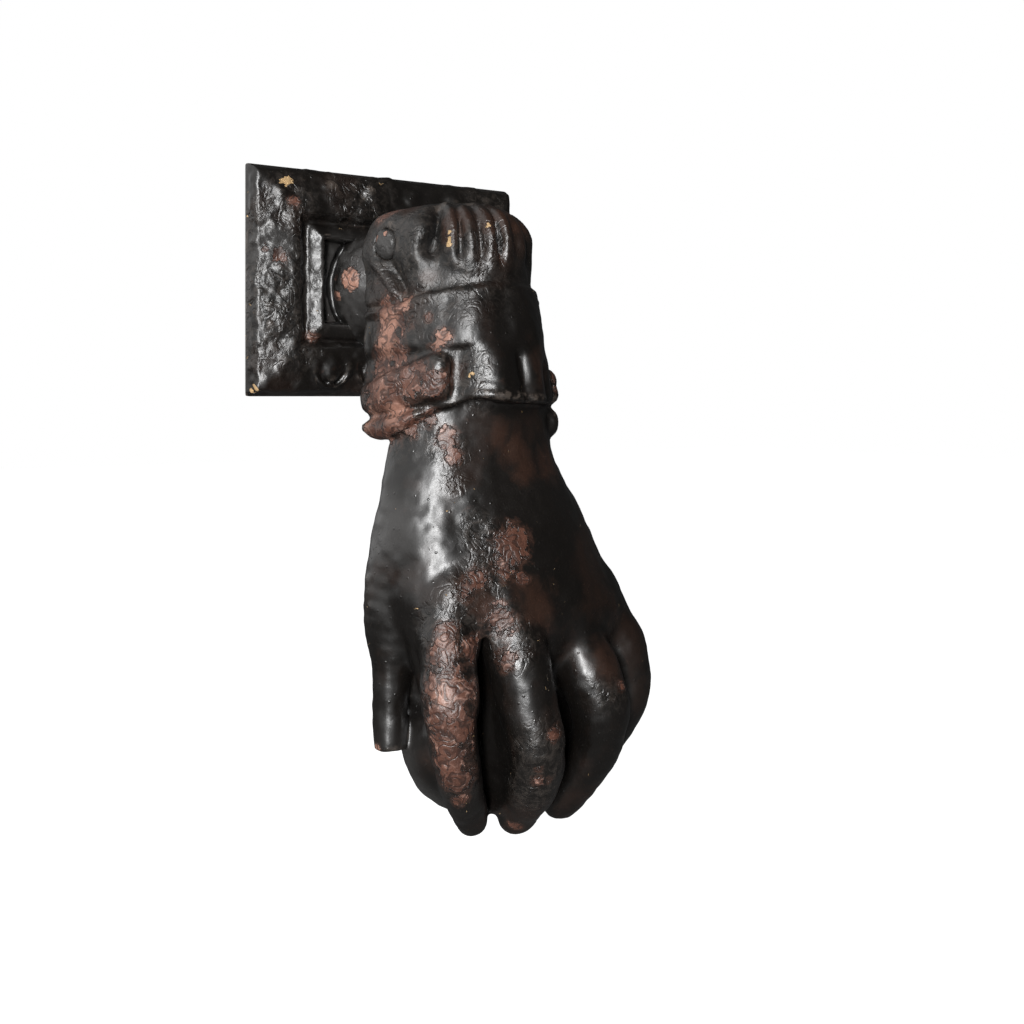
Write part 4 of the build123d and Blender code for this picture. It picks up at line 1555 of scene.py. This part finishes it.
def bare_iron(name):
    """Unpainted iron that has rusted in a dry place."""
    iron = Recipe(bpy.data.materials.new(name))
    patches = iron.ramp(iron.noise(5, 4, 0.6), 0.4, 0.62)
    colour = iron.tint(patches, IRON_GREY, IRON_BROWN)
    colour = iron.tint(iron.ramp(iron.noise(0.7, 3, 0.6), 0.5, 0.7), colour, IRON_DARK)
    roughness = iron.math("MULTIPLY_ADD", patches, 0.3, 0.45)
    return iron.surface(colour, roughness, iron.times(iron.noise(0.5, 3), IRON_GRAIN_HEIGHT), Metallic=0.3)


threaded_stud.data.materials.append(bare_iron("stud_bare_iron"))
print("materials:", [material.name for material in bpy.data.materials])

# %% [markdown]
# ## Light and floor
#
# One tall narrow window stands to the left of the camera and draws one bright stripe down each rounded
# form. A pale room on the left fills the shadows and leaves the right side dark, and the world gives the
# white ground. What only the camera sees as white puts no more light on the iron.

# %% Floor
FLOOR_SIZE = 6
FLOOR_Z = -0.22
FLOOR_PALE = (0.86, 0.86, 0.85)
FLOOR_IN_GLOSS = (0.16, 0.16, 0.16)
FLOOR_GLOW = 0.9
WHITE = (1.0, 1.0, 1.0, 1.0)
bpy.ops.mesh.primitive_plane_add(size=FLOOR_SIZE, location=(0, 0, FLOOR_Z))
floor = bpy.context.object
floor.name = "floor"
paving = Recipe(bpy.data.materials.new("pale_floor"))
in_camera, in_gloss = paving.seen_by()
lit = paving.made("ShaderNodeBsdfDiffuse", Color=paving.tint(in_gloss, FLOOR_PALE, FLOOR_IN_GLOSS))
glow = paving.times(in_camera, FLOOR_GLOW)
shown = paving.made("ShaderNodeEmission", Color=WHITE, Strength=glow)
both = paving.made("ShaderNodeAddShader", n0=lit, n1=shown)
paving.step("ShaderNodeOutputMaterial", Surface=both)
floor.data.materials.append(paving.owner)
print("floor is", round(-1000 * floor.location.z), "mm below the plate's middle")

# %% World: white behind the knocker, a pale room on the left and a dim one on the right
TOWARDS_PALE_SIDE = (-0.94, 0.34, 0.0)
PALE_FROM = 0.12
PALE_TO = 0.6
DIM_SIDE = 0.05
SHARE_AS_LIGHT = 0.45
world = bpy.data.worlds.new("studio")
bpy.context.scene.world = world
sky = Recipe(world, "Generated")
in_camera, in_gloss = sky.seen_by()
facing = sky.step("ShaderNodeVectorMath", {"operation": "DOT_PRODUCT"}, n0=sky.place, n1=TOWARDS_PALE_SIDE)
brightness = sky.ramp(facing.outputs["Value"], PALE_FROM, PALE_TO, DIM_SIDE)
share = sky.plus(SHARE_AS_LIGHT, sky.times(in_gloss, 1 - SHARE_AS_LIGHT))
strength = sky.most(in_camera, sky.times(share, brightness))
sky.step("ShaderNodeOutputWorld", Surface=sky.made("ShaderNodeBackground", Color=WHITE, Strength=strength))
print("the room lights the iron with", SHARE_AS_LIGHT, "of what shows in its gloss")

# %% Lamps


def soft_lamp(name, place, target, width, height, power):
    """A rectangular studio light that points at a place on the knocker."""
    light = bpy.data.lights.new(name, "AREA")
    light.shape = "RECTANGLE"
    light.size = width
    light.size_y = height
    light.energy = power
    lamp = bpy.data.objects.new(name, light)
    lamp.location = place
    direction = np.array(target) - np.array(place)
    lamp.rotation_euler = Vector(direction).to_track_quat("-Z", "Y").to_euler()
    bpy.context.scene.collection.objects.link(lamp)
    return lamp


MIDDLE_OF_KNOCKER = (0.0, -0.04, -0.05)
WINDOW_PLACE = (-0.66, -0.84, 0.18)
window = soft_lamp("window", WINDOW_PLACE, MIDDLE_OF_KNOCKER, width=0.14, height=0.76, power=20)
bpy.context.scene.view_settings.view_transform = "Standard"
print("window:", round(window.data.size_y, 2), "m tall,", window.data.energy, "W")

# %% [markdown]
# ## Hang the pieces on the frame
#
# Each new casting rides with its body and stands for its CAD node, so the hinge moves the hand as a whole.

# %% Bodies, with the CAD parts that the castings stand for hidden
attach(hand_casting, "hand_body")
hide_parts("hand")
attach(peened_pin, "hand_body")
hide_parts("pivot_pin")
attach(plate_casting, "plate_body")
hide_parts("wall_plate")
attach(threaded_stud, "plate_body")
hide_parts("fixing_stud")
